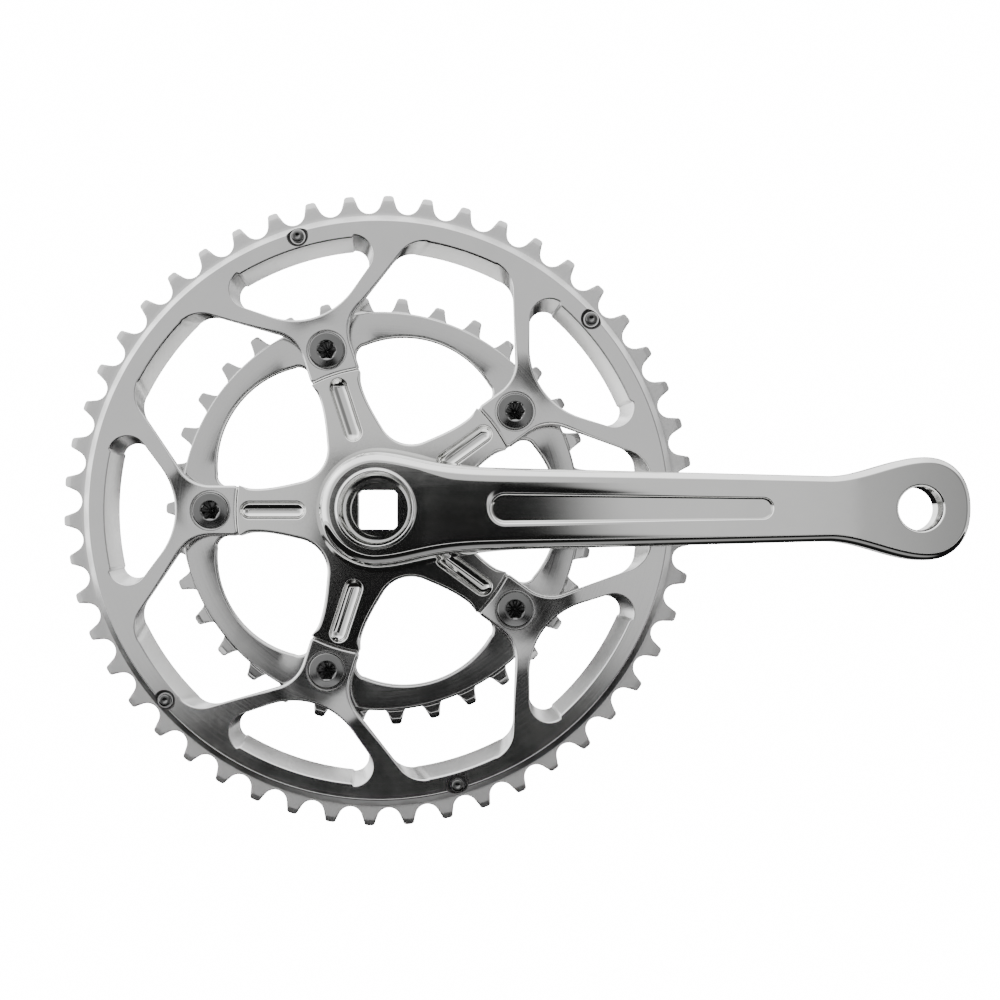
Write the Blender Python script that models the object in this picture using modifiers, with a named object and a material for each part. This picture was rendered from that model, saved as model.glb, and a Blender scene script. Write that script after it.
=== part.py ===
"""Bicycle crankset, drive side: crank arm, five-arm spider, two chainrings and their hardware.

Every piece is drawn in the same local frame and turned upright at the end.
Local X runs from the crank axis to the pedal, local Y is up and local Z points outboard.
Local Z is called the height, and height 0 is the inboard end of the boss.
In the world the crank axis is Y, outboard is -Y and up is +Z.
"""

import math

import bmesh
import bpy
from mathutils import Matrix, Vector

MM = 0.001

# Spider and bolt circle
BOLT_COUNT = 5
BOLT_CIRCLE_RADIUS = 55.0 * MM
FIRST_BOLT_ANGLE = 36.0
BOLT_STEP = 360.0 / BOLT_COUNT
LOBE_OFFSET = BOLT_STEP / 2.0
REST_GAP = 0.3 * MM

# Heights of the layers, from the inboard side to the outboard side
INNER_RING_BACK = 4.0 * MM
INNER_TEETH_BACK = 4.7 * MM
INNER_TEETH_FRONT = 6.8 * MM
INNER_RING_FRONT = 7.2 * MM
SPIDER_HUB_BACK = 5.0 * MM
SPIDER_BACK = 7.5 * MM
SPIDER_TAB_FRONT = 11.5 * MM
OUTER_RING_BACK = 11.8 * MM
OUTER_TEETH_FRONT = 13.9 * MM
OUTER_RING_FRONT = 16.3 * MM
SPIDER_FRONT = 16.6 * MM
BOSS_BASE = SPIDER_FRONT + REST_GAP

# Chainring teeth for a 12.7 mm pitch chain
CHAIN_PITCH = 12.7 * MM
ROLLER_SEAT_RADIUS = 3.95 * MM
TIP_ABOVE_PITCH = 1.95 * MM
TIP_HALF_WIDTH = 1.15 * MM
TIP_CHAMFER = 0.65 * MM
SEAT_HALF_ANGLE = 64.0
SEAT_POINTS = 5
OUTER_TOOTH_COUNT = 50
OUTER_FIRST_TIP = 1.87
INNER_TOOTH_COUNT = 34
INNER_FIRST_TIP = 9.79

# Outer chainring
OUTER_BODY_RIM = 94.5 * MM
OUTER_STEP_RIM = 96.4 * MM
BLANK_HOLE_RADIUS = 44.0 * MM
TAB_HALF_WIDTH = 8.2 * MM
RING_TAB_INNER_RADIUS = 46.5 * MM
LEG_FILLET = 12.0 * MM
WINDOW_RIM_FRONT = 89.4 * MM
WINDOW_RIM_BACK = 84.9 * MM
WINDOW_CORNER_FRONT = 6.5 * MM
WINDOW_CORNER_BACK = 4.5 * MM
WINDOW_VALLEY_HEIGHT = 60.6 * MM
WINDOW_VALLEY_SLOPE = 0.739
WINDOW_VALLEY_FILLET = 24.2 * MM
LOBE_RIM_FRONT = 89.0 * MM
LOBE_RIM_BACK = 84.5 * MM
LOBE_CORNER_FRONT = 10.0 * MM
LOBE_CORNER_BACK = 8.0 * MM
LEG_POINT = Vector((13.0, 64.5)) * MM
LEG_SLOPE = 0.676

# Inner chainring
INNER_BODY_RIM = 65.9 * MM
INNER_TEETH_INNER_RADIUS = 62.0 * MM
INNER_TAB_INNER_RADIUS = 47.2 * MM
INNER_LOBE_CENTRE = 25.3 * MM
INNER_LOBE_RADIUS = 33.4 * MM
INNER_LOBE_FILLET = 4.0 * MM

# Spider
SPIDER_VOID_RADIUS = 11.0 * MM
SPIDER_VOID_CENTRE = 34.3 * MM
SPIDER_VOID_ANGLE = 41.0
SPIDER_WAIST_HALF_WIDTH = 7.1 * MM
SPIDER_WAIST_RADIUS = 40.0 * MM
SPIDER_SHOULDER_RADIUS = 46.2 * MM
SPIDER_SHOULDER_LEAN = 0.3
SPIDER_TAB_HALF_WIDTH = 8.0 * MM
SPIDER_TAB_ROOT = 45.5 * MM
SPIDER_HUB_RADIUS = 22.0 * MM
SPIDER_BORE_RADIUS = 16.0 * MM
GROOVE_BALL_RADIUS = 2.85 * MM
GROOVE_INNER_RADIUS = 23.9 * MM
GROOVE_OUTER_RADIUS = 44.9 * MM
GROOVE_CENTRE_LIFT = 0.3 * MM

# Crank arm
CRANK_LENGTH = 170.0 * MM
BOSS_FACE = 38.6 * MM
COLLAR_FACE = 39.6 * MM
COLLAR_RADIUS = 13.4 * MM
COLLAR_EDGE = 0.5 * MM
EYE_FACE = 41.6 * MM
EYE_BACK = 28.1 * MM
FACE_SLOPE_START = 14.0 * MM
FACE_SLOPE_END = 150.0 * MM
BACK_LIFT_START = 21.0 * MM
BACK_LIFT_END = 150.0 * MM
BACK_LIFT_STEP = 2.0 * MM
BACK_LIFT_STEP_END = 40.0 * MM
BOSS_RADIUS = 18.0 * MM
ARM_ROOT_HALF_WIDTH = 14.0 * MM
ARM_TAPER = 0.0262
NECK_LENGTH = 17.0 * MM
WAIST_X = 142.0 * MM
EYE_WIDEST_X = 172.0 * MM
EYE_HALF_WIDTH = 16.2 * MM
EYE_TIP_X = 185.3 * MM
EYE_ROUNDNESS = 0.9
EYE_STEPS = 12
# Distances in mm at which the arm's sides are drawn, closest where they curve most
ARM_STATIONS = (
    4.0, 8.0, 12.0, 16.0, 20.0, 25.0, 31.0, 40.0, 60.0,
    90.0, 120.0, 142.0, 147.0, 151.0, 155.0, 159.0, 163.0, 167.0,
)
BOSS_BEVEL_WIDTH = 3.8 * MM
EYE_BEVEL_WIDTH = 2.8 * MM
BEVEL_DROP = 4.6 * MM
BEVEL_ANGLES = (0.0, 30.0, 60.0, 90.0)
BACK_EDGE_ROUND = 2.2 * MM
# Shares of the round that each ring at the inner edge is moved in and lifted by
BACK_ROUND_SHARES = ((1.0, 0.0), (0.3, 0.3), (0.0, 1.0))
BASE_FLARE = 2.3 * MM
BASE_FLARE_SIDE = 0.75
BASE_FLARE_START = 12.0 * MM
BASE_FLARE_END = 48.0 * MM
SPIGOT_RADIUS = 15.7 * MM
SPIGOT_TOP = 18.0 * MM
EXTRACTOR_THREAD_RADIUS = 11.2 * MM
EXTRACTOR_MOUTH_RADIUS = 11.9 * MM
EXTRACTOR_DEPTH_HEIGHT = 29.0 * MM
EXTRACTOR_RUNOUT_RADIUS = 9.9 * MM
BOLT_SEAT_HEIGHT = 27.0 * MM
BOLT_SEAT_INNER_RADIUS = 8.5 * MM
SQUARE_TOP_HEIGHT = 24.5 * MM
SQUARE_HALF_WIDTH = 6.25 * MM
SQUARE_CORNER_HALF_FLAT = 5.2 * MM
SQUARE_TAPER = math.tan(math.radians(2.0))
SLOT_START_X = 35.4 * MM
SLOT_END_X = 124.6 * MM
SLOT_START_HALF_WIDTH = 4.85 * MM
SLOT_END_HALF_WIDTH = 3.5 * MM
SLOT_DEPTH = 2.0 * MM
SLOT_WALL_INSET = 0.6 * MM
PEDAL_HOLE_RADIUS = 7.15 * MM
PEDAL_MOUTH_RADIUS = 8.0 * MM

# Chainring bolts and their sleeve nuts
RING_HOLE_RADIUS = 5.3 * MM
HEAD_RECESS_RADIUS = 6.5 * MM
HEAD_RECESS_FLOOR = 13.6 * MM
HEAD_RADIUS = 6.05 * MM
HEAD_FACE = 16.0 * MM
HEAD_CHAMFER = 0.7 * MM
SHANK_RADIUS = 4.0 * MM
SHANK_END = 6.5 * MM
SOCKET_RADIUS = 3.3 * MM
SOCKET_DEPTH = 1.6 * MM
SOCKET_SIDES = 6
NUT_FLANGE_RADIUS = 6.3 * MM
NUT_BACK = 2.4 * MM
NUT_FLANGE_FRONT = INNER_RING_BACK - REST_GAP
NUT_EDGE = 0.4 * MM
NUT_SLEEVE_RADIUS = 5.0 * MM
NUT_BORE_RADIUS = 4.3 * MM
NUT_BORE_END = 4.6 * MM
NUT_SLEEVE_FRONT = 13.0 * MM
NUT_SLOT_WIDTH = 2.0 * MM
NUT_SLOT_DEPTH = 1.0 * MM

# Shift pins and the chain drop pin
SHIFT_PIN_ANGLES = (42.0, 106.5, 221.6, 286.0)
SHIFT_PIN_CIRCLE = 93.3 * MM
PIN_RECESS_RADIUS = 3.55 * MM
PIN_RECESS_FLOOR_RADIUS = 2.5 * MM
PIN_RECESS_FLOOR = 14.3 * MM
PIN_HOLE_RADIUS = 1.9 * MM
PIN_SHANK_RADIUS = 1.6 * MM
PIN_HEAD_RADIUS = 2.05 * MM
PIN_HEAD_FACE = 15.9 * MM
PIN_PEG_RADIUS = 2.6 * MM
PIN_PEG_END = 8.6 * MM
PIN_EDGE = 0.4 * MM
PIN_DIMPLE_RADIUS = 0.8 * MM
DROP_PIN_CIRCLE = 91.7 * MM
DROP_PIN_RADIUS = 2.4 * MM
DROP_PIN_FACE = 21.5 * MM
DROP_PIN_HEAD_BACK = 10.6 * MM

CUTTER_OVERRUN = 1.0 * MM
RIM_SEGMENTS = 100
HUB_SEGMENTS = 48
BORE_SEGMENTS = 40
PEDAL_HOLE_SEGMENTS = 32
HARDWARE_SEGMENTS = 16
PIN_SEGMENTS = 12
SMOOTH_LIMIT = math.radians(32.0)
FLAT_LIMIT = math.radians(0.2)

UPRIGHT = Matrix.Rotation(math.radians(90.0), 4, "X")


def remove_scene_objects():
    """Remove whatever the scene holds before building."""
    for existing in list(bpy.data.objects):
        bpy.data.objects.remove(existing, do_unlink=True)


def new_collection(name):
    """Make a collection and link it to the scene."""
    collection = bpy.data.collections.new(name)
    bpy.context.scene.collection.children.link(collection)
    return collection


def principled_material(name, colour, metallic, roughness):
    """Make a Principled BSDF material."""
    material = bpy.data.materials.new(name)
    material.use_nodes = True
    shader = material.node_tree.nodes["Principled BSDF"]
    shader.inputs["Base Color"].default_value = (*colour, 1.0)
    shader.inputs["Metallic"].default_value = metallic
    shader.inputs["Roughness"].default_value = roughness
    return material


def polar(radius, degrees):
    """Return the point at a radius and an angle from +X."""
    angle = math.radians(degrees)
    return Vector((radius * math.cos(angle), radius * math.sin(angle)))


def radial_point(tangential, radial, degrees):
    """Turn a point given across and along a radial direction into X and Y."""
    angle = math.radians(degrees)
    along = Vector((math.cos(angle), math.sin(angle)))
    across = Vector((-math.sin(angle), math.cos(angle)))
    return along * radial + across * tangential


def circle_points(radius, count, centre=Vector((0.0, 0.0))):
    """Return points around a circle."""
    step = 360.0 / count
    return [centre + polar(radius, index * step) for index in range(count)]


def arc_points(centre, radius, start, end, count):
    """Return points along an arc between two angles, ends included."""
    step = (end - start) / (count - 1)
    return [centre + polar(radius, start + index * step) for index in range(count)]


def fillet_points(corner, towards_first, towards_second, radius, count):
    """Round a corner between two straight directions with an arc that touches both."""
    first = towards_first.normalized()
    second = towards_second.normalized()
    half_angle = first.angle(second) / 2.0
    centre = corner + (first + second).normalized() * (radius / math.sin(half_angle))
    reach = radius / math.tan(half_angle)
    start = corner + first * reach - centre
    end = corner + second * reach - centre
    start_angle = math.degrees(math.atan2(start.y, start.x))
    end_angle = math.degrees(math.atan2(end.y, end.x))
    turn = (end_angle - start_angle + 180.0) % 360.0 - 180.0
    return arc_points(centre, radius, start_angle, start_angle + turn, count)


def bezier_points(start, start_handle, end_handle, end, count):
    """Return points along a cubic curve, ends included."""
    points = []
    for index in range(count):
        place = index / (count - 1)
        rest = 1.0 - place
        points.append(
            start * rest ** 3
            + start_handle * 3.0 * rest ** 2 * place
            + end_handle * 3.0 * rest * place ** 2
            + end * place ** 3
        )
    return points


def line_meets_circle(point, slope, radius):
    """Return where a line of a given slope meets a circle about the origin, on its +X side."""
    lift = point.y - slope * point.x
    square = 1.0 + slope ** 2
    root = math.sqrt((slope * lift) ** 2 - square * (lift ** 2 - radius ** 2))
    across = (root - slope * lift) / square
    return Vector((across, lift + slope * across))


def smooth_step(value):
    """Return a smooth ramp from 0 to 1."""
    clamped = min(max(value, 0.0), 1.0)
    return clamped * clamped * (3.0 - 2.0 * clamped)


def mesh_object(name, vertices, faces, collection):
    """Make a mesh object from vertices and faces in the local frame, stood upright."""
    mesh = bpy.data.meshes.new(name)
    mesh.from_pydata([tuple(vertex) for vertex in vertices], [], faces)
    mesh.validate()
    made = bpy.data.objects.new(name, mesh)
    made.matrix_world = UPRIGHT
    collection.objects.link(made)
    return made


def flat_plate(name, loops, back, front, collection):
    """Make a flat plate from closed outlines, the first being its edge and the rest its holes."""
    curve = bpy.data.curves.new(name, "CURVE")
    curve.dimensions = "2D"
    curve.fill_mode = "BOTH"
    curve.extrude = (front - back) / 2.0
    for loop in loops:
        spline = curve.splines.new("POLY")
        spline.points.add(len(loop) - 1)
        for point, corner in zip(spline.points, loop):
            point.co = (corner.x, corner.y, 0.0, 1.0)
        spline.use_cyclic_u = True
    drawn = bpy.data.objects.new(name + "_outline", curve)
    drawn.matrix_world = UPRIGHT @ Matrix.Translation((0.0, 0.0, (front + back) / 2.0))
    collection.objects.link(drawn)
    bpy.context.view_layer.update()
    evaluated = drawn.evaluated_get(bpy.context.evaluated_depsgraph_get())
    mesh = bpy.data.meshes.new_from_object(evaluated)
    weld_vertices(mesh)
    made = bpy.data.objects.new(name, mesh)
    made.matrix_world = drawn.matrix_world
    collection.objects.link(made)
    bpy.data.objects.remove(drawn)
    return made


def weld_vertices(mesh):
    """Join the vertices that lie at the same place."""
    welded = bmesh.new()
    welded.from_mesh(mesh)
    bmesh.ops.remove_doubles(welded, verts=welded.verts, dist=0.000001)
    welded.to_mesh(mesh)
    welded.free()


def turned_piece(name, profile, segments, centre, collection, closed=False):
    """Turn a profile of radius and height about a line parallel to the crank axis."""
    mesh = bpy.data.meshes.new(name)
    vertices = [(radius, 0.0, height) for radius, height in profile]
    edges = [(index, index + 1) for index in range(len(profile) - 1)]
    if closed:
        edges.append((len(profile) - 1, 0))
    mesh.from_pydata(vertices, edges, [])
    made = bpy.data.objects.new(name, mesh)
    made.matrix_world = UPRIGHT @ Matrix.Translation((centre.x, centre.y, 0.0))
    collection.objects.link(made)
    screw = made.modifiers.new("Turn", "SCREW")
    screw.axis = "Z"
    screw.steps = segments
    screw.render_steps = segments
    screw.use_merge_vertices = True
    screw.merge_threshold = 0.00001
    return made


def loft(name, rings, collection):
    """Join rings of equal point counts with a skin and close both ends."""
    count = len(rings[0])
    vertices = [point for ring in rings for point in ring]
    faces = []
    for level in range(len(rings) - 1):
        lower = level * count
        upper = lower + count
        for index in range(count):
            following = (index + 1) % count
            faces.append((lower + index, lower + following, upper + following))
            faces.append((lower + index, upper + following, upper + index))
    faces.append(tuple(reversed(range(count))))
    last = (len(rings) - 1) * count
    faces.append(tuple(range(last, last + count)))
    return mesh_object(name, vertices, faces, collection)


def apply_boolean(target, tool, operation, solver):
    """Add a Boolean that joins or cuts with another object."""
    boolean = target.modifiers.new(operation.title(), "BOOLEAN")
    boolean.operation = operation
    boolean.solver = solver
    boolean.object = tool
    tool.hide_render = True
    tool.display_type = "WIRE"


def cut(target, tool, solver="EXACT"):
    """Cut one object with another."""
    apply_boolean(target, tool, "DIFFERENCE", solver)


def join(target, tool, solver="EXACT"):
    """Join one object onto another."""
    apply_boolean(target, tool, "UNION", solver)


def merge_flat_faces(part):
    """Merge the faces that lie in one plane, so that flat walls carry no spare corners."""
    merge = part.modifiers.new("Merge flat faces", "DECIMATE")
    merge.decimate_type = "DISSOLVE"
    merge.angle_limit = FLAT_LIMIT


def finish_part(part, material):
    """Give a part its material and shade it smooth between sharp edges."""
    part.data.materials.clear()
    part.data.materials.append(material)
    part.data.shade_smooth()
    part.data.set_sharp_from_angle(angle=SMOOTH_LIMIT)


def chainring_outline(tooth_count, first_tip):
    """Return the outline of a toothed ring: a roller seat between each pair of teeth."""
    pitch_radius = CHAIN_PITCH / (2.0 * math.sin(math.pi / tooth_count))
    tip_radius = pitch_radius + TIP_ABOVE_PITCH
    tooth_step = 360.0 / tooth_count
    tip_angle = math.degrees(TIP_HALF_WIDTH / tip_radius)
    flank_angle = math.degrees((TIP_HALF_WIDTH + TIP_CHAMFER) / tip_radius)
    outline = []
    for tooth in range(tooth_count):
        tip = first_tip + tooth * tooth_step
        outline.append(polar(tip_radius - TIP_CHAMFER, tip - flank_angle))
        outline.append(polar(tip_radius, tip - tip_angle))
        outline.append(polar(tip_radius, tip + tip_angle))
        outline.append(polar(tip_radius - TIP_CHAMFER, tip + flank_angle))
        seat = tip + tooth_step / 2.0
        inward = seat + 180.0
        outline += arc_points(
            polar(pitch_radius, seat),
            ROLLER_SEAT_RADIUS,
            inward + SEAT_HALF_ANGLE,
            inward - SEAT_HALF_ANGLE,
            SEAT_POINTS,
        )
    return outline


def ring_window_outline(rim_radius, corner_radius, degrees):
    """Return one closed window between the legs of a Y, outboard of a bolt."""
    valley = Vector((0.0, WINDOW_VALLEY_HEIGHT))
    corner = line_meets_circle(valley, WINDOW_VALLEY_SLOPE, rim_radius)
    down_leg = Vector((-1.0, -WINDOW_VALLEY_SLOPE))
    along_rim = Vector((-corner.y, corner.x))
    right = fillet_points(corner, down_leg, along_rim, corner_radius, 8)
    reach = math.degrees(math.atan2(right[-1].x, right[-1].y))
    rim = arc_points(Vector((0.0, 0.0)), rim_radius, 90.0 - reach, 90.0 + reach, 11)[1:-1]
    left = [Vector((-point.x, point.y)) for point in reversed(right)]
    up_left = Vector((-1.0, WINDOW_VALLEY_SLOPE))
    up_right = Vector((1.0, WINDOW_VALLEY_SLOPE))
    floor = fillet_points(valley, up_left, up_right, WINDOW_VALLEY_FILLET, 9)
    return [radial_point(-point.x, point.y, degrees) for point in right + rim + left + floor]


def ring_opening_outline(rim_radius, corner_radius):
    """Return the ring's inner outline: five lobes that reach between the bolt tabs."""
    axis = Vector((0.0, 0.0))
    tab_angle = math.degrees(math.asin(TAB_HALF_WIDTH / RING_TAB_INNER_RADIUS))
    tab_end = arc_points(axis, RING_TAB_INNER_RADIUS, 90.0 + tab_angle, 90.0 - tab_angle, 5)
    junction_lift = LEG_POINT.y + LEG_SLOPE * (TAB_HALF_WIDTH - LEG_POINT.x)
    junction = Vector((TAB_HALF_WIDTH, junction_lift))
    up_leg = Vector((1.0, LEG_SLOPE))
    leg_root = fillet_points(junction, Vector((0.0, -1.0)), up_leg, LEG_FILLET, 7)
    corner = line_meets_circle(LEG_POINT, LEG_SLOPE, rim_radius)
    along_rim = Vector((corner.y, -corner.x))
    shoulder = fillet_points(corner, -up_leg, along_rim, corner_radius, 7)
    start = math.degrees(math.atan2(shoulder[-1].y, shoulder[-1].x))
    rim = arc_points(axis, rim_radius, start, 90.0 - LOBE_OFFSET, 4)[1:]
    right = leg_root + shoulder + rim
    left = [Vector((-point.x, point.y)) for point in reversed(right)][1:]
    outline = []
    for degrees in bolt_angles():
        outline += [radial_point(point.x, point.y, degrees) for point in left + tab_end + right]
    return outline


def inner_ring_opening():
    """Return the inner ring's inner outline: five round lobes between the bolt tabs."""
    outline = []
    lobe_centre = polar(INNER_LOBE_CENTRE, 90.0 - LOBE_OFFSET)
    across = TAB_HALF_WIDTH - lobe_centre.x
    lift = math.sqrt(INNER_LOBE_RADIUS ** 2 - across ** 2)
    corner = Vector((TAB_HALF_WIDTH, lobe_centre.y + lift))
    along_lobe = Vector((lift, -across))
    fillet = fillet_points(corner, Vector((0.0, -1.0)), along_lobe, INNER_LOBE_FILLET, 5)
    last = fillet[-1] - lobe_centre
    start = math.degrees(math.atan2(last.y, last.x))
    rim = arc_points(lobe_centre, INNER_LOBE_RADIUS, start, 90.0 - LOBE_OFFSET, 8)[1:]
    right = fillet + rim
    left = [Vector((-point.x, point.y)) for point in reversed(right)][1:]
    tab_angle = math.degrees(math.asin(TAB_HALF_WIDTH / INNER_TAB_INNER_RADIUS))
    tab_end = arc_points(
        Vector((0.0, 0.0)), INNER_TAB_INNER_RADIUS, 90.0 + tab_angle, 90.0 - tab_angle, 4
    )
    for degrees in bolt_angles():
        outline += [radial_point(point.x, point.y, degrees) for point in left + tab_end + right]
    return outline


def spider_outline():
    """Return the outline of the spider's hub and its five arms up to the ring shoulder."""
    void_centre = polar(SPIDER_VOID_CENTRE, 90.0 - LOBE_OFFSET)
    inward = 270.0 - LOBE_OFFSET
    corner = arc_points(void_centre, SPIDER_VOID_RADIUS, inward - SPIDER_VOID_ANGLE, inward, 6)
    tangent = polar(1.0, inward - SPIDER_VOID_ANGLE + 90.0) * -1.0
    waist = Vector((SPIDER_WAIST_HALF_WIDTH, SPIDER_WAIST_RADIUS))
    handle = (waist.y - corner[0].y) / 3.0
    flank = bezier_points(
        waist,
        waist - Vector((0.0, handle)),
        corner[0] + tangent * handle,
        corner[0],
        6,
    )[:-1]
    shoulder_height = math.sqrt(SPIDER_SHOULDER_RADIUS ** 2 - TAB_HALF_WIDTH ** 2)
    shoulder = Vector((TAB_HALF_WIDTH, shoulder_height))
    flare = bezier_points(
        shoulder,
        shoulder - Vector((SPIDER_SHOULDER_LEAN, 1.0)) * (shoulder.y - waist.y) / 3.0,
        waist + Vector((0.0, 1.0)) * (shoulder.y - waist.y) / 2.0,
        waist,
        4,
    )[:-1]
    shoulder_angle = math.degrees(math.asin(TAB_HALF_WIDTH / SPIDER_SHOULDER_RADIUS))
    end = arc_points(
        Vector((0.0, 0.0)), SPIDER_SHOULDER_RADIUS, 90.0, 90.0 - shoulder_angle, 3
    )[:-1]
    right = end + flare + flank + corner
    left = [Vector((-point.x, point.y)) for point in reversed(right[1:])][1:]
    outline = []
    for bolt in range(BOLT_COUNT):
        degrees = FIRST_BOLT_ANGLE - bolt * BOLT_STEP
        outline += [radial_point(-point.x, point.y, degrees) for point in left + right]
    return outline


def spider_tab_outline(degrees):
    """Return the outline of one thin tab that the chainrings clamp."""
    bolt = Vector((0.0, BOLT_CIRCLE_RADIUS))
    tab_end = arc_points(bolt, SPIDER_TAB_HALF_WIDTH, 0.0, 180.0, 11)
    root = [
        Vector((-SPIDER_TAB_HALF_WIDTH, SPIDER_TAB_ROOT)),
        Vector((SPIDER_TAB_HALF_WIDTH, SPIDER_TAB_ROOT)),
    ]
    return [radial_point(-point.x, point.y, degrees) for point in tab_end + root]


def bolt_angles():
    """Return the angles of the five chainring bolts."""
    return [FIRST_BOLT_ANGLE + bolt * BOLT_STEP for bolt in range(BOLT_COUNT)]


def bolt_hole_cutter(name, centre, cutters):
    """Make a straight cutter for one chainring bolt hole."""
    profile = (
        (0.0, SPIDER_FRONT + CUTTER_OVERRUN),
        (RING_HOLE_RADIUS, SPIDER_FRONT + CUTTER_OVERRUN),
        (RING_HOLE_RADIUS, INNER_RING_BACK - CUTTER_OVERRUN),
        (0.0, INNER_RING_BACK - CUTTER_OVERRUN),
    )
    return turned_piece(name, profile, HARDWARE_SEGMENTS, centre, cutters)


def build_outer_chainring(parts, cutters, hole_cutters):
    """Build the outer chainring: toothed plate, raised body, bevelled windows and holes."""
    teeth = chainring_outline(OUTER_TOOTH_COUNT, OUTER_FIRST_TIP)
    plate_loops = [teeth, circle_points(BLANK_HOLE_RADIUS, RIM_SEGMENTS // 2)]
    ring = flat_plate("outer_chainring", plate_loops, OUTER_RING_BACK, OUTER_TEETH_FRONT, parts)
    body_hole_radius = BLANK_HOLE_RADIUS - CUTTER_OVERRUN
    body_profile = (
        (body_hole_radius, OUTER_RING_FRONT),
        (OUTER_BODY_RIM, OUTER_RING_FRONT),
        (OUTER_STEP_RIM, OUTER_TEETH_FRONT),
        (OUTER_STEP_RIM, OUTER_RING_BACK + CUTTER_OVERRUN),
        (body_hole_radius, OUTER_RING_BACK + CUTTER_OVERRUN),
    )
    centre = Vector((0.0, 0.0))
    body = turned_piece("outer_ring_body", body_profile, RIM_SEGMENTS, centre, cutters, True)
    join(ring, body, "MANIFOLD")
    opening = bevelled_cutter(
        "outer_ring_opening",
        ring_opening_outline(LOBE_RIM_BACK, LOBE_CORNER_BACK),
        ring_opening_outline(LOBE_RIM_FRONT, LOBE_CORNER_FRONT),
        cutters,
    )
    cut(ring, opening, "MANIFOLD")
    for index, degrees in enumerate(bolt_angles()):
        window = bevelled_cutter(
            f"outer_ring_window_{index + 1}",
            ring_window_outline(WINDOW_RIM_BACK, WINDOW_CORNER_BACK, degrees),
            ring_window_outline(WINDOW_RIM_FRONT, WINDOW_CORNER_FRONT, degrees),
            cutters,
        )
        cut(ring, window, "MANIFOLD")
    for hole in hole_cutters:
        cut(ring, hole, "MANIFOLD")
    for index, degrees in enumerate(bolt_angles()):
        recess_profile = (
            (0.0, OUTER_RING_FRONT + CUTTER_OVERRUN),
            (HEAD_RECESS_RADIUS, OUTER_RING_FRONT + CUTTER_OVERRUN),
            (HEAD_RECESS_RADIUS, HEAD_RECESS_FLOOR),
            (0.0, HEAD_RECESS_FLOOR),
        )
        place = polar(BOLT_CIRCLE_RADIUS, degrees)
        name = f"head_recess_{index + 1}"
        recess = turned_piece(name, recess_profile, HARDWARE_SEGMENTS, place, cutters)
        cut(ring, recess, "MANIFOLD")
    for index, degrees in enumerate(SHIFT_PIN_ANGLES):
        slope = (PIN_RECESS_RADIUS - PIN_RECESS_FLOOR_RADIUS) / (OUTER_RING_FRONT - PIN_RECESS_FLOOR)
        recess_profile = (
            (0.0, OUTER_RING_FRONT + CUTTER_OVERRUN),
            (PIN_RECESS_RADIUS + slope * CUTTER_OVERRUN, OUTER_RING_FRONT + CUTTER_OVERRUN),
            (PIN_RECESS_FLOOR_RADIUS, PIN_RECESS_FLOOR),
            (PIN_HOLE_RADIUS, PIN_RECESS_FLOOR),
            (PIN_HOLE_RADIUS, OUTER_RING_BACK - CUTTER_OVERRUN),
            (0.0, OUTER_RING_BACK - CUTTER_OVERRUN),
        )
        place = polar(SHIFT_PIN_CIRCLE, degrees)
        name = f"pin_recess_{index + 1}"
        recess = turned_piece(name, recess_profile, PIN_SEGMENTS, place, cutters)
        cut(ring, recess, "MANIFOLD")
    drop_hole_profile = (
        (0.0, OUTER_RING_FRONT + CUTTER_OVERRUN),
        (PIN_HOLE_RADIUS, OUTER_RING_FRONT + CUTTER_OVERRUN),
        (PIN_HOLE_RADIUS, OUTER_RING_BACK - CUTTER_OVERRUN),
        (0.0, OUTER_RING_BACK - CUTTER_OVERRUN),
    )
    drop_place = polar(DROP_PIN_CIRCLE, 0.0)
    drop_hole = turned_piece("drop_pin_hole", drop_hole_profile, PIN_SEGMENTS, drop_place, cutters)
    cut(ring, drop_hole, "MANIFOLD")
    merge_flat_faces(ring)
    return ring


def bevelled_cutter(name, back_outline, front_outline, cutters):
    """Make a cutter whose wall leans from the ring's back outline to its front outline."""
    thickness = OUTER_RING_FRONT - OUTER_RING_BACK
    overrun = CUTTER_OVERRUN / thickness
    rings = []
    for height, place in ((OUTER_RING_BACK - CUTTER_OVERRUN, -overrun),
                          (OUTER_RING_FRONT + CUTTER_OVERRUN, 1.0 + overrun)):
        ring = []
        for back_point, front_point in zip(back_outline, front_outline):
            point = back_point + (front_point - back_point) * place
            ring.append(Vector((point.x, point.y, height)))
        rings.append(ring)
    return loft(name, rings, cutters)


def build_inner_chainring(parts, cutters, hole_cutters):
    """Build the inner chainring: toothed plate joined to a thicker body."""
    opening = inner_ring_opening()
    body_loops = [circle_points(INNER_BODY_RIM, RIM_SEGMENTS), opening]
    ring = flat_plate("inner_chainring", body_loops, INNER_RING_BACK, INNER_RING_FRONT, parts)
    teeth_loops = [
        chainring_outline(INNER_TOOTH_COUNT, INNER_FIRST_TIP),
        circle_points(INNER_TEETH_INNER_RADIUS, RIM_SEGMENTS // 2),
    ]
    teeth = flat_plate("inner_ring_teeth", teeth_loops, INNER_TEETH_BACK, INNER_TEETH_FRONT, cutters)
    join(ring, teeth)
    for hole in hole_cutters:
        cut(ring, hole)
    merge_flat_faces(ring)
    return ring


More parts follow.
